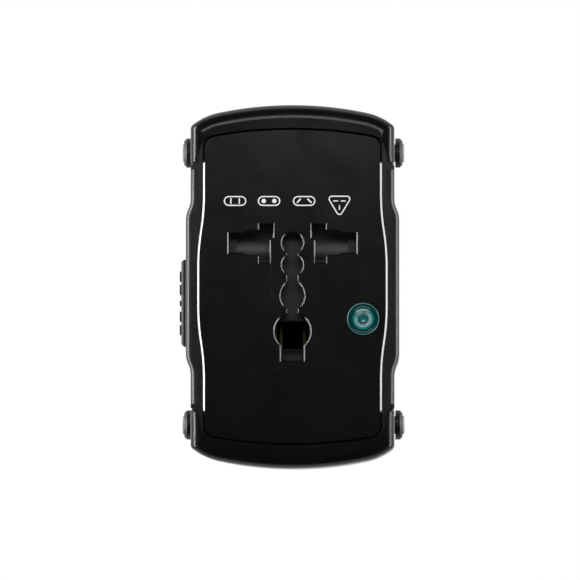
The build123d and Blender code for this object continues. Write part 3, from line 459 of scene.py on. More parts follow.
def metal(name, colour, roughness, lines=(9000.0, 300.0, 9000.0), tarnish=0.3, dark=(0.2, 0.13, 0.06)):
    """Bare or plated metal with its drawn lines and tarnish."""
    tree, shader = new_finish(name)
    surface = place_group(tree, drawn_metal, Line_scale=lines, Tarnish=tarnish)
    edges = place_group(tree, edge_wear, Amount=0.6, Reach=0.15 * MM)
    bright_share = 0.25
    line_depth = 0.004 * MM
    stained = mixed(tree, surface["Tarnish mask"], colour, dark)
    bright = mixed(tree, edges["Mask"], stained, lighter(colour, bright_share))
    tree.links.new(bright, shader.inputs["Base Color"])
    shader.inputs["Metallic"].default_value = 1.0
    rough = math_node(tree, "ADD", surface["Roughness"], roughness, clamp=True)
    tree.links.new(rough, shader.inputs["Roughness"])
    tree.links.new(bump(tree, surface["Height"], line_depth), shader.inputs["Normal"])


def radius_from(tree, centre):
    """Distance across X and Z from a point."""
    offset = vector_node(tree, "SUBTRACT", object_coordinates(tree), centre)
    across = vector_node(tree, "MULTIPLY", offset, (1.0, 0.0, 1.0))
    return vector_node(tree, "LENGTH", across, output="Value")


def teal_lens(name, colour, centre, radius):
    """Tinted clear plastic with painted shade in its groove and outer ring, painted highlights on the
    ridges of its middle, and a faint painted glow.
    """
    tree, shader = new_finish(name)
    share = math_node(tree, "DIVIDE", radius_from(tree, centre), radius)
    # Painted light and shade: the stops make the groove (0.27) and the outer ring (0.72 to 0.92) darker as
    # shade, and the ridges (0.43 to 0.56) paler as highlight.
    rings = colour_stops(tree, share, (
        (0.0, darker(colour, 0.6)),
        (0.1, darker(colour, 0.85)),
        (0.27, darker(colour, 0.35)),
        (0.43, lighter(colour, 0.16)),
        (0.56, lighter(colour, 0.03)),
        (0.65, darker(colour, 0.7)),
        (0.72, darker(colour, 0.15)),
        (0.92, darker(colour, 0.22)),
        (0.97, lighter(darker(colour, 0.5), 0.06)),
    ))
    roughness = 0.12
    cloud_depth = 0.02 * MM
    cloud = noise_node(tree, scale=900.0, detail=4.0)
    spots = ramp_node(tree, cloud, low=0.4, high=0.6, to_high=0.5)
    tint_and_painted_light = mixed(tree, spots, rings, darker(colour, 0.2))
    tree.links.new(tint_and_painted_light, shader.inputs["Base Color"])
    smears = place_group(tree, handling_marks, Smear=0.05, Scratch=0.3)
    rough = math_node(tree, "ADD", smears["Roughness"], roughness, clamp=True)
    tree.links.new(rough, shader.inputs["Roughness"])
    tree.links.new(bump(tree, cloud, cloud_depth), shader.inputs["Normal"])
    # Painted glow: the lens gives off a faint light in its painted colours, though nothing behind it is
    # lit.
    tree.links.new(tint_and_painted_light, shader.inputs["Emission Color"])
    shader.inputs["Emission Strength"].default_value = 0.2
    shader.inputs["Coat Weight"].default_value = 0.35
    shader.inputs["Coat Roughness"].default_value = 0.05


def banded_resistor(name, left_x, length):
    """Lacquered body with its colour bands."""
    tree, shader = new_finish(name)
    separate = tree.nodes.new("ShaderNodeSeparateXYZ")
    tree.links.new(object_coordinates(tree), separate.inputs[0])
    along = math_node(tree, "SUBTRACT", separate.outputs["X"], left_x)
    along = math_node(tree, "DIVIDE", along, length)
    lacquer = (0.28, 0.52, 0.62)
    brown, black = (0.35, 0.1, 0.03), (0.01, 0.01, 0.01)
    orange, gold = (0.75, 0.3, 0.02), (0.6, 0.42, 0.12)
    band = 0.08
    stops = [(0.0, lacquer)]
    for start, colour in ((0.16, brown), (0.36, black), (0.56, orange), (0.8, gold)):
        stops += [(start, colour), (start + band, lacquer)]
    tree.links.new(colour_stops(tree, along, stops, banded=True), shader.inputs["Base Color"])
    rough_patches(tree, shader, scale=800.0, low=0.25, high=0.4)


def solder_mask(name):
    """Green lacquer over glass weave, with pale tracks showing through."""
    tree, shader = new_finish(name)
    tracks = tree.nodes.new("ShaderNodeTexBrick")
    tracks.inputs["Scale"].default_value = 220.0
    tracks.inputs["Mortar Size"].default_value = 0.035
    tracks.inputs["Color1"].default_value = (0.012, 0.1, 0.045, 1.0)
    tracks.inputs["Color2"].default_value = (0.014, 0.115, 0.05, 1.0)
    tracks.inputs["Mortar"].default_value = (0.03, 0.2, 0.08, 1.0)
    upright = tree.nodes.new("ShaderNodeMapping")
    upright.inputs["Rotation"].default_value = (math.pi / 2, 0.0, 0.0)
    tree.links.new(object_coordinates(tree), upright.inputs["Vector"])
    tree.links.new(upright.outputs["Vector"], tracks.inputs["Vector"])
    tree.links.new(tracks.outputs["Color"], shader.inputs["Base Color"])
    weave_depth = 0.01 * MM
    weave = rough_patches(tree, shader, scale=2500.0, low=0.22, high=0.4, detail=2.0)
    tree.links.new(bump(tree, weave, weave_depth), shader.inputs["Normal"])


def glazed_ceramic(name):
    """Off-white ceramic with fine specks."""
    tree, shader = new_finish(name)
    specks = ramp_node(tree, noise_node(tree, scale=3000.0, detail=2.0), low=0.66, high=0.72)
    colour = mixed(tree, specks, (0.74, 0.71, 0.64), (0.42, 0.38, 0.32))
    tree.links.new(colour, shader.inputs["Base Color"])
    rough_patches(tree, shader, scale=500.0, low=0.3, high=0.5)


def printed_ink(name, colour):
    """Pad-printed white ink, a little uneven."""
    tree, shader = new_finish(name)
    patch = rough_patches(tree, shader, scale=1500.0, low=0.4, high=0.6)
    tree.links.new(mixed(tree, patch, colour, darker(colour, 0.9)), shader.inputs["Base Color"])


def glowing_led(name):
    """Milky green plastic of the indicator lamp."""
    tree, shader = new_finish(name)
    patch = rough_patches(tree, shader, scale=600.0, low=0.12, high=0.22, detail=2.0)
    deep, pale = (0.05, 0.6, 0.5), (0.1, 0.75, 0.62)
    tree.links.new(mixed(tree, patch, deep, pale), shader.inputs["Base Color"])


def make_finishes(colours):
    """Makes the material of every slot in the record, and the ink."""
    moulded_plastic(
        "panel_gloss", colours.panel, roughness=0.24, depth=0.0006 * MM, grain=0.5 * MM, wear=0.15,
        smear=0.03, coat=0.35, scratch=0.12,
    )
    moulded_plastic("case_black", colours.casing, roughness=0.29, depth=0.004 * MM, specular=0.4)
    moulded_plastic(
        "cap_black", colours.bumper, roughness=0.22, depth=0.006 * MM, grain=0.22 * MM, specular=0.25
    )
    moulded_plastic(
        "grip_black", colours.grip, roughness=0.46, depth=0.012 * MM, grain=0.16 * MM, wear=0.9
    )
    moulded_plastic(
        "button_grey", colours.button, roughness=0.38, depth=0.004 * MM, grain=0.2 * MM, wear=0.3
    )
    moulded_plastic(
        "insulator_grey", (0.011, 0.011, 0.012), roughness=0.42, depth=0.006 * MM, grain=0.25 * MM
    )
    moulded_plastic("carriage_black", (0.014, 0.014, 0.014), roughness=0.45, depth=0.006 * MM)
    moulded_plastic("sleeve_black", (0.012, 0.012, 0.012), roughness=0.5, depth=0.006 * MM)
    low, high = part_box("led_lens")
    teal_lens("lens_teal", colours.lens, centre=(low + high) / 2, radius=(high.x - low.x) / 2)
    glowing_led("led_green")
    solder_mask("board_green")
    low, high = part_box("board_resistors")
    banded_resistor("resistor_blue", left_x=low.x, length=high.x - low.x)
    metal("brass", colours.brass, roughness=0.16)
    # Painted shade: the contacts' brass is cut to 0.12 of its colour and given a heavy near-black tarnish,
    # so that it looks shaded deep in the socket holes.
    metal(
        "spring_brass", darker(colours.brass, 0.12), roughness=0.36, tarnish=0.8,
        dark=(0.03, 0.022, 0.014),
    )
    metal("nickel", colours.nickel, roughness=0.13, tarnish=0.15, dark=(0.32, 0.28, 0.22))
    metal(
        "steel", (0.5, 0.5, 0.52), roughness=0.22, lines=(4000.0, 4000.0, 4000.0), tarnish=0.25,
        dark=(0.2, 0.19, 0.18),
    )
    glazed_ceramic("ceramic_white")
    printed_ink("ink", colours.ink)


# Pieces carried over from the solids
def recorded_slots():
    """The record's material slot of each node."""
    return {entry["node"]: entry["material_slot"] for entry in frame["record"]["subparts"]}


def dress(node, edge_round=0.0, finish=None):
    """Gives a node its material and, where asked, a small round to its hard edges."""
    piece = frame["nodes"][node]
    piece.data.materials.clear()
    piece.data.materials.append(FINISHES[finish or recorded_slots()[node]])
    if edge_round:
        weld = piece.modifiers.new("Join faces", "WELD")
        weld.merge_threshold = 0.001 * MM
        bevel = piece.modifiers.new("Edge round", "BEVEL")
        bevel.width = edge_round
        bevel.segments = 3
        bevel.limit_method = "ANGLE"
        bevel.angle_limit = math.radians(40)


# Pieces made here
def new_piece(name, mesh, body, slot, finish=None):
    """Links a finished mesh as a piece that rides on a body."""
    piece = bpy.data.objects.new(name, mesh)
    bpy.context.scene.collection.objects.link(piece)
    mesh.materials.clear()
    mesh.materials.append(FINISHES[finish or slot])
    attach(piece, body)
    return piece


def finished_mesh(name, shape):
    """A mesh filled from a bmesh, which is freed."""
    mesh = bpy.data.meshes.new(name)
    shape.to_mesh(mesh)
    shape.free()
    return mesh


def turned(profile, centre, steps):
    """A mesh turned about the line to the front; the profile is (radius, height) from foot to tip."""
    shape = bmesh.new()
    rings = []
    for radius, height in profile:
        if radius == 0:
            rings.append([shape.verts.new((0.0, 0.0, height))])
            continue
        ring = []
        for step in range(steps):
            angle = 2 * math.pi * step / steps
            ring.append(shape.verts.new((radius * math.cos(angle), radius * math.sin(angle), height)))
        rings.append(ring)
    for lower, upper in zip(rings, rings[1:]):
        for step in range(steps):
            after = (step + 1) % steps
            if len(lower) == 1:
                shape.faces.new((lower[0], upper[after], upper[step]))
            elif len(upper) == 1:
                shape.faces.new((lower[step], lower[after], upper[0]))
            else:
                shape.faces.new((lower[step], lower[after], upper[after], upper[step]))
    bmesh.ops.recalc_face_normals(shape, faces=shape.faces)
    up, front = Vector((0.0, 0.0, 1.0)), Vector((0.0, -1.0, 0.0))
    turn = up.rotation_difference(front).to_matrix().to_4x4()
    bmesh.ops.transform(shape, matrix=Matrix.Translation(centre) @ turn, verts=shape.verts)
    mesh = finished_mesh("turned", shape)
    for face in mesh.polygons:
        face.use_smooth = True
    return mesh


# Plug signs
def stadium(width, height, steps=12):
    """Outline of a long round-ended sign, counter-clockwise, about the origin."""
    radius = height / 2
    points = []
    for side, start in ((1, -math.pi / 2), (-1, math.pi / 2)):
        middle = side * (width / 2 - radius)
        for step in range(steps + 1):
            angle = start + math.pi * step / steps
            points.append((middle + radius * math.cos(angle), radius * math.sin(angle)))
    return points


def rounded_triangle(width, height, radius, steps=8):
    """Outline of a triangle that stands on its tip, with round corners, counter-clockwise."""
    across, up = width / 2, height / 2
    corners = [Vector(corner) for corner in ((across, up), (-across, up), (0.0, -up))]
    points = []
    for index, corner in enumerate(corners):
        to_before = (corners[index - 1] - corner).normalized()
        to_after = (corners[(index + 1) % len(corners)] - corner).normalized()
        half = to_before.angle(to_after) / 2
        middle = corner + (to_before + to_after).normalized() * (radius / math.sin(half))
        first_arm = to_before.orthogonal() * radius
        for step in range(steps + 1):
            angle = (math.pi - 2 * half) * step / steps
            points.append(tuple(middle + Matrix.Rotation(angle, 2) @ first_arm))
    return points


def inner_line(points, inset):
    """A closed counter-clockwise line drawn in by an inset."""
    count = len(points)
    inner = []
    for index in range(count):
        before, here, after = (Vector(points[(index + k) % count]) for k in (-1, 0, 1))
        first = (here - before).orthogonal().normalized()
        second = (after - here).orthogonal().normalized()
        middle = (first + second).normalized()
        inner.append(tuple(here + middle * inset / middle.dot(first)))
    return inner


def ink_loops(shape, line, place, levels):
    """The corners of a closed line at the foot and at the top of the ink."""
    return [[shape.verts.new((place[0] + x, y, place[1] + z)) for x, z in line] for y in levels]


def join_loops(shape, first, second):
    """Faces between two loops with as many corners."""
    for index in range(len(first)):
        after = (index + 1) % len(first)
        shape.faces.new((first[index], first[after], second[after], second[index]))


def ink_ring(shape, outline, stroke, place, levels):
    """A raised closed line of ink."""
    low_outer, top_outer = ink_loops(shape, outline, place, levels)
    low_inner, top_inner = ink_loops(shape, inner_line(outline, stroke), place, levels)
    loops = (low_outer, top_outer, top_inner, low_inner, low_outer)
    for first, second in zip(loops, loops[1:]):
        join_loops(shape, first, second)


def ink_patch(shape, outline, place, levels):
    """A raised filled patch of ink."""
    low, top = ink_loops(shape, outline, place, levels)
    shape.faces.new(top)
    shape.faces.new(list(reversed(low)))
    join_loops(shape, low, top)


def bar(width, height, across=0.0, up=0.0, turn=0.0):
    """Outline of a straight dash beside the middle of a sign, turned about its own middle."""
    half_width, half_height = width / 2, height / 2
    corners = (
        (-half_width, -half_height), (half_width, -half_height), (half_width, half_height),
        (-half_width, half_height),
    )
    spin = Matrix.Rotation(turn, 2)
    return [tuple(spin @ Vector(corner) + Vector((across, up))) for corner in corners]


def dot(radius, across, steps=20):
    """Outline of a filled dot beside the middle of a sign."""
    angles = [2 * math.pi * step / steps for step in range(steps)]
    return [(across + radius * math.cos(angle), radius * math.sin(angle)) for angle in angles]


# Steps, each a button in the sidebar
class ADAPTER_OT_finishes(bpy.types.Operator):
    """Makes every material of the adapter"""

    bl_idname = "adapter.finishes"
    bl_label = "Finishes"

    def execute(self, context):
        make_finishes(context.scene.adapter_colours)
        return {"FINISHED"}


class ADAPTER_OT_casing(bpy.types.Operator):
    """Dresses the front frame, the rear shell and the end caps"""

    bl_idname = "adapter.casing"
    bl_label = "Casing"

    def execute(self, context):
        sizes = context.scene.adapter_sizes
        for node in ("front_frame", "rear_shell"):
            dress(node, sizes.edge_round)
        for node in ("top_end_cap", "bottom_end_cap"):
            dress(node, sizes.cap_round)
        return {"FINISHED"}


class ADAPTER_OT_front_panel(bpy.types.Operator):
    """Dresses the glossy panel with the socket's holes"""

    bl_idname = "adapter.front_panel"
    bl_label = "Front panel"

    def execute(self, context):
        dress("front_panel")
        return {"FINISHED"}


class ADAPTER_OT_plug_signs(bpy.types.Operator):
    """Prints the signs of the four kinds of plug over the socket's holes"""

    bl_idname = "adapter.plug_signs"
    bl_label = "Plug signs"

    def execute(self, context):
        sizes = context.scene.adapter_sizes
        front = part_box("front_panel")[0].y
        levels = (front + 0.3 * sizes.print_depth, front - sizes.print_depth)
        row_z = MID_Z + 19.4 * MM
        flat, round_pinned, slanted = (-13.0 * MM, row_z), (-5.3 * MM, row_z), (2.65 * MM, row_z)
        three_bladed = (10.65 * MM, MID_Z + 18.4 * MM)
        triangle_place = (three_bladed[0], MID_Z + 18.05 * MM)
        shape = bmesh.new()
        badge = stadium(sizes.badge_width, sizes.badge_height)
        for place in (flat, round_pinned, slanted):
            ink_ring(shape, badge, sizes.print_stroke, place, levels)
        triangle = rounded_triangle(width=6.1 * MM, height=5.1 * MM, radius=0.75 * MM)
        ink_ring(shape, triangle, sizes.print_stroke, triangle_place, levels)
        slant = math.radians(45)
        for side in (-1, 1):
            for place, mark in (
                (flat, bar(width=0.3 * MM, height=1.25 * MM, across=side * 0.95 * MM)),
                (round_pinned, dot(radius=0.5 * MM, across=side * 1.2 * MM)),
                (slanted, bar(
                    width=0.34 * MM, height=1.25 * MM, across=side * 1.2 * MM, up=0.05 * MM,
                    turn=side * slant,
                )),
                (three_bladed, bar(width=1.1 * MM, height=0.25 * MM, across=side * 0.85 * MM, up=1.0 * MM)),
            ):
                ink_patch(shape, mark, place, levels)
        earth = bar(width=0.25 * MM, height=1.05 * MM, up=-0.5 * MM)
        ink_patch(shape, earth, three_bladed, levels)
        bmesh.ops.recalc_face_normals(shape, faces=shape.faces)
        new_piece("plug_signs", finished_mesh("plug_signs", shape), "housing", "panel_gloss", "ink")
        return {"FINISHED"}


class ADAPTER_OT_indicator(bpy.types.Operator):
    """Turns the ringed teal lens and dresses the lamp behind it"""

    bl_idname = "adapter.indicator"
    bl_label = "Indicator"

    def execute(self, context):
        low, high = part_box("led_lens")
        foot = Vector(((low.x + high.x) / 2, high.y, (low.z + high.z) / 2))
        tall = high.y - low.y
        radius = (high.x - low.x) / 2
        boss = 0.685 * radius
        flange = high.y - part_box("front_panel")[1].y
        # in mm: how far in from the rim, or out from the middle, and how deep under the top
        rim = (
            (0.0, 0.22), (0.06, 0.08), (0.18, 0.0), (0.32, 0.04), (0.45, 0.2), (0.62, 0.34), (0.95, 0.38),
            (1.05, 0.22), (1.3, 0.1),
        )
        ridges = (
            (1.95, 0.0), (1.8, 0.0), (1.5, 0.1), (1.25, 0.28), (1.08, 0.3), (0.95, 0.12), (0.75, 0.08),
            (0.5, 0.2), (0.25, 0.26), (0.0, 0.27),
        )
        profile = [(0.0, 0.0), (boss, 0.0), (boss, flange), (radius, flange)]
        profile += [(radius - inset * MM, tall - drop * MM) for inset, drop in rim]
        profile += [(out * MM, tall - drop * MM) for out, drop in ridges]
        mesh = turned(profile, foot, context.scene.adapter_sizes.ring_steps)
        lens = new_piece("ringed_lens", mesh, "housing", "lens_teal")
        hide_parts("led_lens")
        for node in ("indicator_led", "circuit_board", "board_resistors"):
            dress(node)
        return {"FINISHED"}


class ADAPTER_OT_socket_works(bpy.types.Operator):
    """Dresses the shutter, the blocks, the brass and the fuse"""

    bl_idname = "adapter.socket_works"
    bl_label = "Socket works"

    def execute(self, context):
        for node in ("shutter", "contact_block", "earth_block", "fuse_tray"):
            dress(node, context.scene.adapter_sizes.edge_round)
        for node in ("line_contact", "neutral_contact", "earth_contact"):
            # The contacts take the brass that is darkened as painted shade.
            dress(node, finish="spring_brass")
        for node in (
            "line_bus_bar", "neutral_bus_bar", "earth_bus_bar", "fuse", "fuse_end_caps", "fuse_clips",
            "shutter_spring",
        ):
            dress(node)
        return {"FINISHED"}


# Screws
def geometry_node(tree, kind, **inputs):
    """A geometry node with its inputs set by name, from values or from other sockets."""
    node = tree.nodes.new(kind)
    for label, value in inputs.items():
        for source in value if isinstance(value, list) else [value]:
            feed(tree, node.inputs[label.replace("_", " ")], source)
    return node


def along_z(tree, height):
    """A vector socket that points up by a height."""
    return geometry_node(tree, "ShaderNodeCombineXYZ", Z=height).outputs["Vector"]


def moved(tree, geometry, **placing):
    """A geometry moved, turned or stretched."""
    return geometry_node(tree, "GeometryNodeTransform", Geometry=geometry, **placing).outputs["Geometry"]


def crossed_head(tree, given):
    """A round head whose top is at zero, with a cross cut into it by two tapered wedges."""
    radius, height, depth = given["Head radius"], given["Head height"], given["Recess depth"]
    head = geometry_node(tree, "GeometryNodeMeshCylinder", Vertices=48, Radius=radius, Depth=height)
    middle = math_node(tree, "MULTIPLY", height, -0.5)
    crossed = moved(tree, head.outputs["Mesh"], Translation=along_z(tree, middle))
    corner = math.sqrt(0.5)
    wedge = geometry_node(
        tree, "GeometryNodeMeshCone", Vertices=4, Radius_Top=corner, Radius_Bottom=0.4 * corner, Depth=depth
    )
    wedge = moved(tree, wedge.outputs["Mesh"], Rotation=(0.0, 0.0, math.pi / 4))
    foot = math_node(tree, "MULTIPLY", depth, -0.98)
    reach = math_node(tree, "MULTIPLY", radius, 1.25)
    slit = math_node(tree, "MULTIPLY", radius, 0.36)
    for sides in ({"X": reach, "Y": slit}, {"X": slit, "Y": reach}):
        stretch = geometry_node(tree, "ShaderNodeCombineXYZ", Z=1.0, **sides).outputs["Vector"]
        cutter = moved(tree, wedge, Scale=stretch, Translation=along_z(tree, foot))
        cut = geometry_node(tree, "GeometryNodeMeshBoolean", Mesh_1=crossed, Mesh_2=cutter)
        cut.operation = "DIFFERENCE"
        cut.solver = "EXACT"
        crossed = cut.outputs["Mesh"]
    return crossed


def threaded_shank(tree, given):
    """The core, the tip and the thread under a head, as a list."""
    radius, length = given["Thread radius"], given["Length"]
    tip = math_node(tree, "MULTIPLY", radius, 1.3)
    straight = math_node(tree, "SUBTRACT", math_node(tree, "SUBTRACT", length, given["Head height"]), tip)
    core_radius = math_node(tree, "MULTIPLY", radius, 0.8)
    core = geometry_node(
        tree, "GeometryNodeMeshCylinder", Vertices=32, Radius=core_radius, Depth=straight
    )
    core_foot = math_node(tree, "SUBTRACT", tip, length)
    core_middle = math_node(tree, "ADD", core_foot, math_node(tree, "MULTIPLY", straight, 0.5))
    blunt = math_node(tree, "MULTIPLY", radius, 0.25)
    cone = geometry_node(
        tree, "GeometryNodeMeshCone", Vertices=32, Radius_Top=core_radius, Radius_Bottom=blunt, Depth=tip
    )
    cone_foot = math_node(tree, "MULTIPLY", length, -1.0)
    ridge_radius = math_node(tree, "MULTIPLY", radius, 0.85)
    spiral = geometry_node(
        tree, "GeometryNodeCurveSpiral", Resolution=24, Start_Radius=ridge_radius, End_Radius=ridge_radius,
        Height=straight, Rotations=math_node(tree, "DIVIDE", straight, given["Pitch"]),
    )
    ridge = geometry_node(
        tree, "GeometryNodeCurvePrimitiveCircle", Resolution=6,
        Radius=math_node(tree, "MULTIPLY", radius, 0.15),
    )
    thread = geometry_node(
        tree, "GeometryNodeCurveToMesh", Curve=spiral.outputs["Curve"],
        Profile_Curve=ridge.outputs["Curve"], Fill_Caps=True,
    )
    return [
        moved(tree, piece.outputs["Mesh"], Translation=along_z(tree, height))
        for piece, height in ((core, core_middle), (cone, cone_foot), (thread, core_foot))
    ]


def screw_tree():
    """Cross-recessed screws on a two by two grid: heads, recesses, cores, tips and threads."""
    tree = bpy.data.node_groups.new("Housing screws", "GeometryNodeTree")
    for label in (
        "Head radius", "Head height", "Thread radius", "Length", "Recess depth", "Pitch", "Across", "Up",
        "Back", "Middle",
    ):
        tree.interface.new_socket(name=label, in_out="INPUT", socket_type="NodeSocketFloat")
    tree.interface.new_socket(name="Steel", in_out="INPUT", socket_type="NodeSocketMaterial")
    tree.interface.new_socket(name="Geometry", in_out="OUTPUT", socket_type="NodeSocketGeometry")
    given = tree.nodes.new("NodeGroupInput").outputs
    parts = [crossed_head(tree, given), *threaded_shank(tree, given)]
    screw = geometry_node(tree, "GeometryNodeJoinGeometry", Geometry=parts)
    corners = geometry_node(
        tree, "GeometryNodeMeshGrid", Size_X=given["Across"], Size_Y=given["Up"], Vertices_X=2, Vertices_Y=2
    )
    four = geometry_node(
        tree, "GeometryNodeInstanceOnPoints", Points=corners.outputs["Mesh"],
        Instance=screw.outputs["Geometry"],
    )
    place = geometry_node(tree, "ShaderNodeCombineXYZ", Y=given["Back"], Z=given["Middle"])
    standing = moved(
        tree, four.outputs["Instances"], Translation=place.outputs["Vector"],
        Rotation=(-math.pi / 2, 0.0, 0.0),
    )
    real = geometry_node(tree, "GeometryNodeRealizeInstances", Geometry=standing)
    clad = geometry_node(
        tree, "GeometryNodeSetMaterial", Geometry=real.outputs["Geometry"], Material=given["Steel"]
    )
    geometry_node(tree, "NodeGroupOutput", Geometry=clad.outputs["Geometry"])
    return tree


def baked(context, tree, values):
    """The plain mesh that a geometry tree makes from its named values."""
    host = bpy.data.objects.new(tree.name, bpy.data.meshes.new(tree.name))
    context.scene.collection.objects.link(host)
    modifier = host.modifiers.new("Maker", "NODES")
    modifier.node_group = tree
    for item in tree.interface.items_tree:
        if item.in_out == "INPUT":
            modifier[item.identifier] = values[item.name]
    evaluated = host.evaluated_get(context.evaluated_depsgraph_get())
    mesh = bpy.data.meshes.new_from_object(evaluated)
    bpy.data.objects.remove(host)
    if not mesh.polygons:
        raise RuntimeError(tree.name + " came out empty")
    shape = bmesh.new()
    shape.from_mesh(mesh)
    bmesh.ops.remove_doubles(shape, verts=shape.verts, dist=0.0005 * MM)
    bmesh.ops.recalc_face_normals(shape, faces=shape.faces)
    shape.to_mesh(mesh)
    shape.free()
    return mesh


class ADAPTER_OT_screws(bpy.types.Operator):
    """Makes the four cross-recessed screws of the casing, with their threads"""

    bl_idname = "adapter.screws"
    bl_label = "Housing screws"

    def execute(self, context):
        sizes = context.scene.adapter_sizes
        low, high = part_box("housing_screws")
        head_radius = 2.1 * MM
        values = {
            "Head radius": head_radius,
            "Head height": 1.6 * MM,
            "Thread radius": 1.2 * MM,
            "Length": high.y - low.y,
            "Recess depth": sizes.screw_recess,
            "Pitch": sizes.screw_pitch,
            "Across": high.x - low.x - 2 * head_radius,
            "Up": high.z - low.z - 2 * head_radius,
            "Back": high.y,
            "Middle": (low.z + high.z) / 2,
            "Steel": FINISHES["steel"],
        }
        screws = new_piece("recessed_screws", baked(context, screw_tree(), values), "housing", "steel")
        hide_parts("housing_screws")
        return {"FINISHED"}


class ADAPTER_OT_british_plug(bpy.types.Operator):
    """Dresses the middle plug with its three pins and its side slider"""

    bl_idname = "adapter.british_plug"
    bl_label = "British plug"

    def execute(self, context):
        for node in (
            "uk_carriage", "uk_line_pin", "uk_neutral_pin", "uk_earth_pin", "uk_pin_sleeves", "uk_wipers",
            "uk_slider_grip",
        ):
            dress(node)
        return {"FINISHED"}


class ADAPTER_OT_end_plugs(bpy.types.Operator):
    """Dresses the continental and American plugs with their knobs, buttons and springs"""

    bl_idname = "adapter.end_plugs"
    bl_label = "End plugs"

    def execute(self, context):
        for node in (
            "eu_carriage", "eu_left_pin", "eu_right_pin", "eu_pin_sleeves", "eu_wipers", "us_carriage",
            "us_wipers", "us_left_turret", "us_right_turret", "us_left_blade", "us_right_blade",
        ):
            dress(node)
        for plug in ("eu", "us"):
            for side in ("left", "right"):
                for part in ("knob", "button", "button_spring"):
                    dress(f"{plug}_{side}_{part}")
        return {"FINISHED"}


# Stage
def area_lamp(name, offset, size, power):
    """A rectangular lamp at an offset from the adapter's middle, which it faces."""
    data = bpy.data.lights.new(name, "AREA")
    data.shape = "RECTANGLE"
    data.size, data.size_y = size
    data.energy = power
    lamp = bpy.data.objects.new(name, data)
    lamp.location = Vector((0.0, 0.0, MID_Z)) + offset
    lamp.rotation_mode = "QUATERNION"
    lamp.rotation_quaternion = (-offset).to_track_quat("-Z", "Y")
    bpy.context.scene.collection.objects.link(lamp)


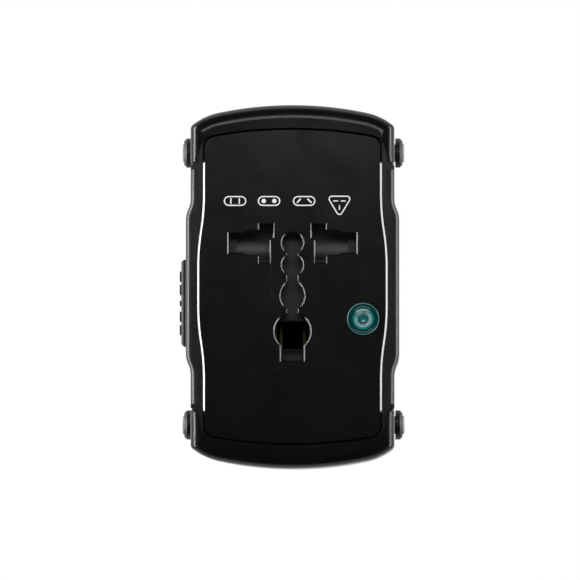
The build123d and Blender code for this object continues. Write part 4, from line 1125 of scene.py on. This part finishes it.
class ADAPTER_OT_stage(bpy.types.Operator):
    """Sets the floor, the white surroundings, the lamps and the camera"""

    bl_idname = "adapter.stage"
    bl_label = "Stage"

    def execute(self, context):
        studio = context.scene.adapter_studio
        self.make_floor()
        self.make_world(context.scene, studio.ambient)
        strip_size = (0.10, 1.1)
        for name, offset, size, power in (
            ("left_strip", (-0.55, -0.03, 0.0), strip_size, studio.strip_power),
            ("right_strip", (0.55, -0.03, 0.0), strip_size, studio.strip_power * studio.right_share),
            ("top_box", (0.0, 0.12, 0.55), (0.5, 0.2), studio.top_power),
            ("front_box", (0.0, -0.27, 0.11), (0.2, 0.05), studio.front_power),
            ("low_card", (0.0, 0.1, -0.5), (0.4, 0.12), studio.low_power),
        ):
            area_lamp(name, Vector(offset), size, power)
        self.make_camera(context.scene, studio)
        context.scene.view_settings.view_transform = "Standard"
        return {"FINISHED"}

    def make_floor(self):
        """A pale floor that fades out to the white surroundings and can't be seen from below."""
        half_width = 0.9
        solid_radius, clear_radius = 0.06, 0.2
        shape = bmesh.new()
        bmesh.ops.create_grid(shape, x_segments=1, y_segments=1, size=half_width)
        floor = bpy.data.objects.new("floor", finished_mesh("floor", shape))
        bpy.context.scene.collection.objects.link(floor)
        material = bpy.data.materials.new("floor")
        material.use_nodes = True
        tree = material.node_tree
        tree.nodes.clear()
        paint = tree.nodes.new("ShaderNodeBsdfDiffuse")
        cloud = noise_node(tree, scale=30.0, detail=2.0)
        patch = mixed(tree, cloud, (0.88, 0.88, 0.88), (0.9, 0.9, 0.9))
        tree.links.new(patch, paint.inputs["Color"])
        clear = tree.nodes.new("ShaderNodeBsdfTransparent")
        distance = vector_node(tree, "LENGTH", object_coordinates(tree), output="Value")
        fade = ramp_node(tree, distance, low=solid_radius, high=clear_radius)
        below = tree.nodes.new("ShaderNodeNewGeometry").outputs["Backfacing"]
        gloss = tree.nodes.new("ShaderNodeLightPath").outputs["Is Glossy Ray"]
        hidden = math_node(tree, "MAXIMUM", math_node(tree, "MAXIMUM", fade, below), gloss)
        blend = tree.nodes.new("ShaderNodeMixShader")
        tree.links.new(hidden, blend.inputs["Fac"])
        tree.links.new(paint.outputs["BSDF"], blend.inputs[1])
        tree.links.new(clear.outputs["BSDF"], blend.inputs[2])
        output = tree.nodes.new("ShaderNodeOutputMaterial")
        tree.links.new(blend.outputs["Shader"], output.inputs["Surface"])
        floor.data.materials.append(material)

    def make_world(self, scene, ambient):
        """White to the camera, white behind the adapter in its gloss, and an even light elsewhere."""
        world = bpy.data.worlds.new("studio")
        world.use_nodes = True
        tree = world.node_tree
        tree.nodes.clear()
        path = tree.nodes.new("ShaderNodeLightPath").outputs
        seen = path["Is Camera Ray"]
        direction = tree.nodes.new("ShaderNodeTexCoord").outputs["Generated"]
        separate = tree.nodes.new("ShaderNodeSeparateXYZ")
        tree.links.new(direction, separate.inputs[0])
        behind = ramp_node(tree, separate.outputs["Y"], low=-0.15, high=0.5)
        gloss = math_node(tree, "MAXIMUM", path["Is Glossy Ray"], path["Is Transmission Ray"])
        bounce = math_node(tree, "MULTIPLY", gloss, behind)
        plain = math_node(tree, "SUBTRACT", 1.0, gloss)
        even = math_node(tree, "MULTIPLY", plain, ambient)
        even = math_node(tree, "MULTIPLY", even, math_node(tree, "SUBTRACT", 1.0, seen))
        strength = math_node(tree, "ADD", math_node(tree, "ADD", bounce, even), seen)
        background = tree.nodes.new("ShaderNodeBackground")
        background.inputs["Color"].default_value = (1.0, 1.0, 1.0, 1.0)
        tree.links.new(strength, background.inputs["Strength"])
        output = tree.nodes.new("ShaderNodeOutputWorld")
        tree.links.new(background.outputs["Background"], output.inputs["Surface"])
        scene.world = world

    def make_camera(self, scene, studio):
        """A long lens at the photograph's angle."""
        data = bpy.data.cameras.new("camera")
        camera = bpy.data.objects.new("camera", data)
        scene.collection.objects.link(camera)
        data.sensor_width = 36.0
        data.lens = data.sensor_width * studio.distance / studio.frame_height
        data.clip_start = 0.01
        data.clip_end = 20.0
        aim = Vector((studio.aim_x, 0.0, MID_Z + studio.aim_z))
        turn, rise = studio.azimuth, studio.elevation
        level = math.cos(rise)
        back = Vector((math.sin(turn) * level, -math.cos(turn) * level, math.sin(rise)))
        camera.location = aim + back * studio.distance
        camera.rotation_mode = "QUATERNION"
        camera.rotation_quaternion = (-back).to_track_quat("-Z", "Y")
        scene.camera = camera


# The add-on's panel, and the run
STEPS = (
    ADAPTER_OT_finishes,
    ADAPTER_OT_casing,
    ADAPTER_OT_front_panel,
    ADAPTER_OT_plug_signs,
    ADAPTER_OT_indicator,
    ADAPTER_OT_socket_works,
    ADAPTER_OT_screws,
    ADAPTER_OT_british_plug,
    ADAPTER_OT_end_plugs,
    ADAPTER_OT_stage,
)


class ADAPTER_PT_sidebar(bpy.types.Panel):
    """Lists the steps that dress the adapter"""

    bl_idname = "ADAPTER_PT_sidebar"
    bl_label = "Travel adapter"
    bl_space_type = "VIEW_3D"
    bl_region_type = "UI"
    bl_category = "Adapter"

    def draw(self, context):
        scene = context.scene
        for group in (scene.adapter_sizes, scene.adapter_colours, scene.adapter_studio):
            box = self.layout.box()
            for key in group.__annotations__:
                box.prop(group, key)
        for step in STEPS:
            self.layout.operator(step.bl_idname)


CLASSES = (AdapterSizes, AdapterColours, AdapterStudio, *STEPS, ADAPTER_PT_sidebar)


def register():
    """Registers the settings, the steps and the panel."""
    for item in CLASSES:
        bpy.utils.register_class(item)
    bpy.types.Scene.adapter_sizes = PointerProperty(type=AdapterSizes)
    bpy.types.Scene.adapter_colours = PointerProperty(type=AdapterColours)
    bpy.types.Scene.adapter_studio = PointerProperty(type=AdapterStudio)


def unregister():
    """Takes them away again."""
    del bpy.types.Scene.adapter_studio
    del bpy.types.Scene.adapter_colours
    del bpy.types.Scene.adapter_sizes
    for item in reversed(CLASSES):
        bpy.utils.unregister_class(item)


def main():
    """Runs every step."""
    register()
    for step in STEPS:
        group, name = step.bl_idname.split(".")
        getattr(getattr(bpy.ops, group), name)()


if __name__ == "__main__":
    main()
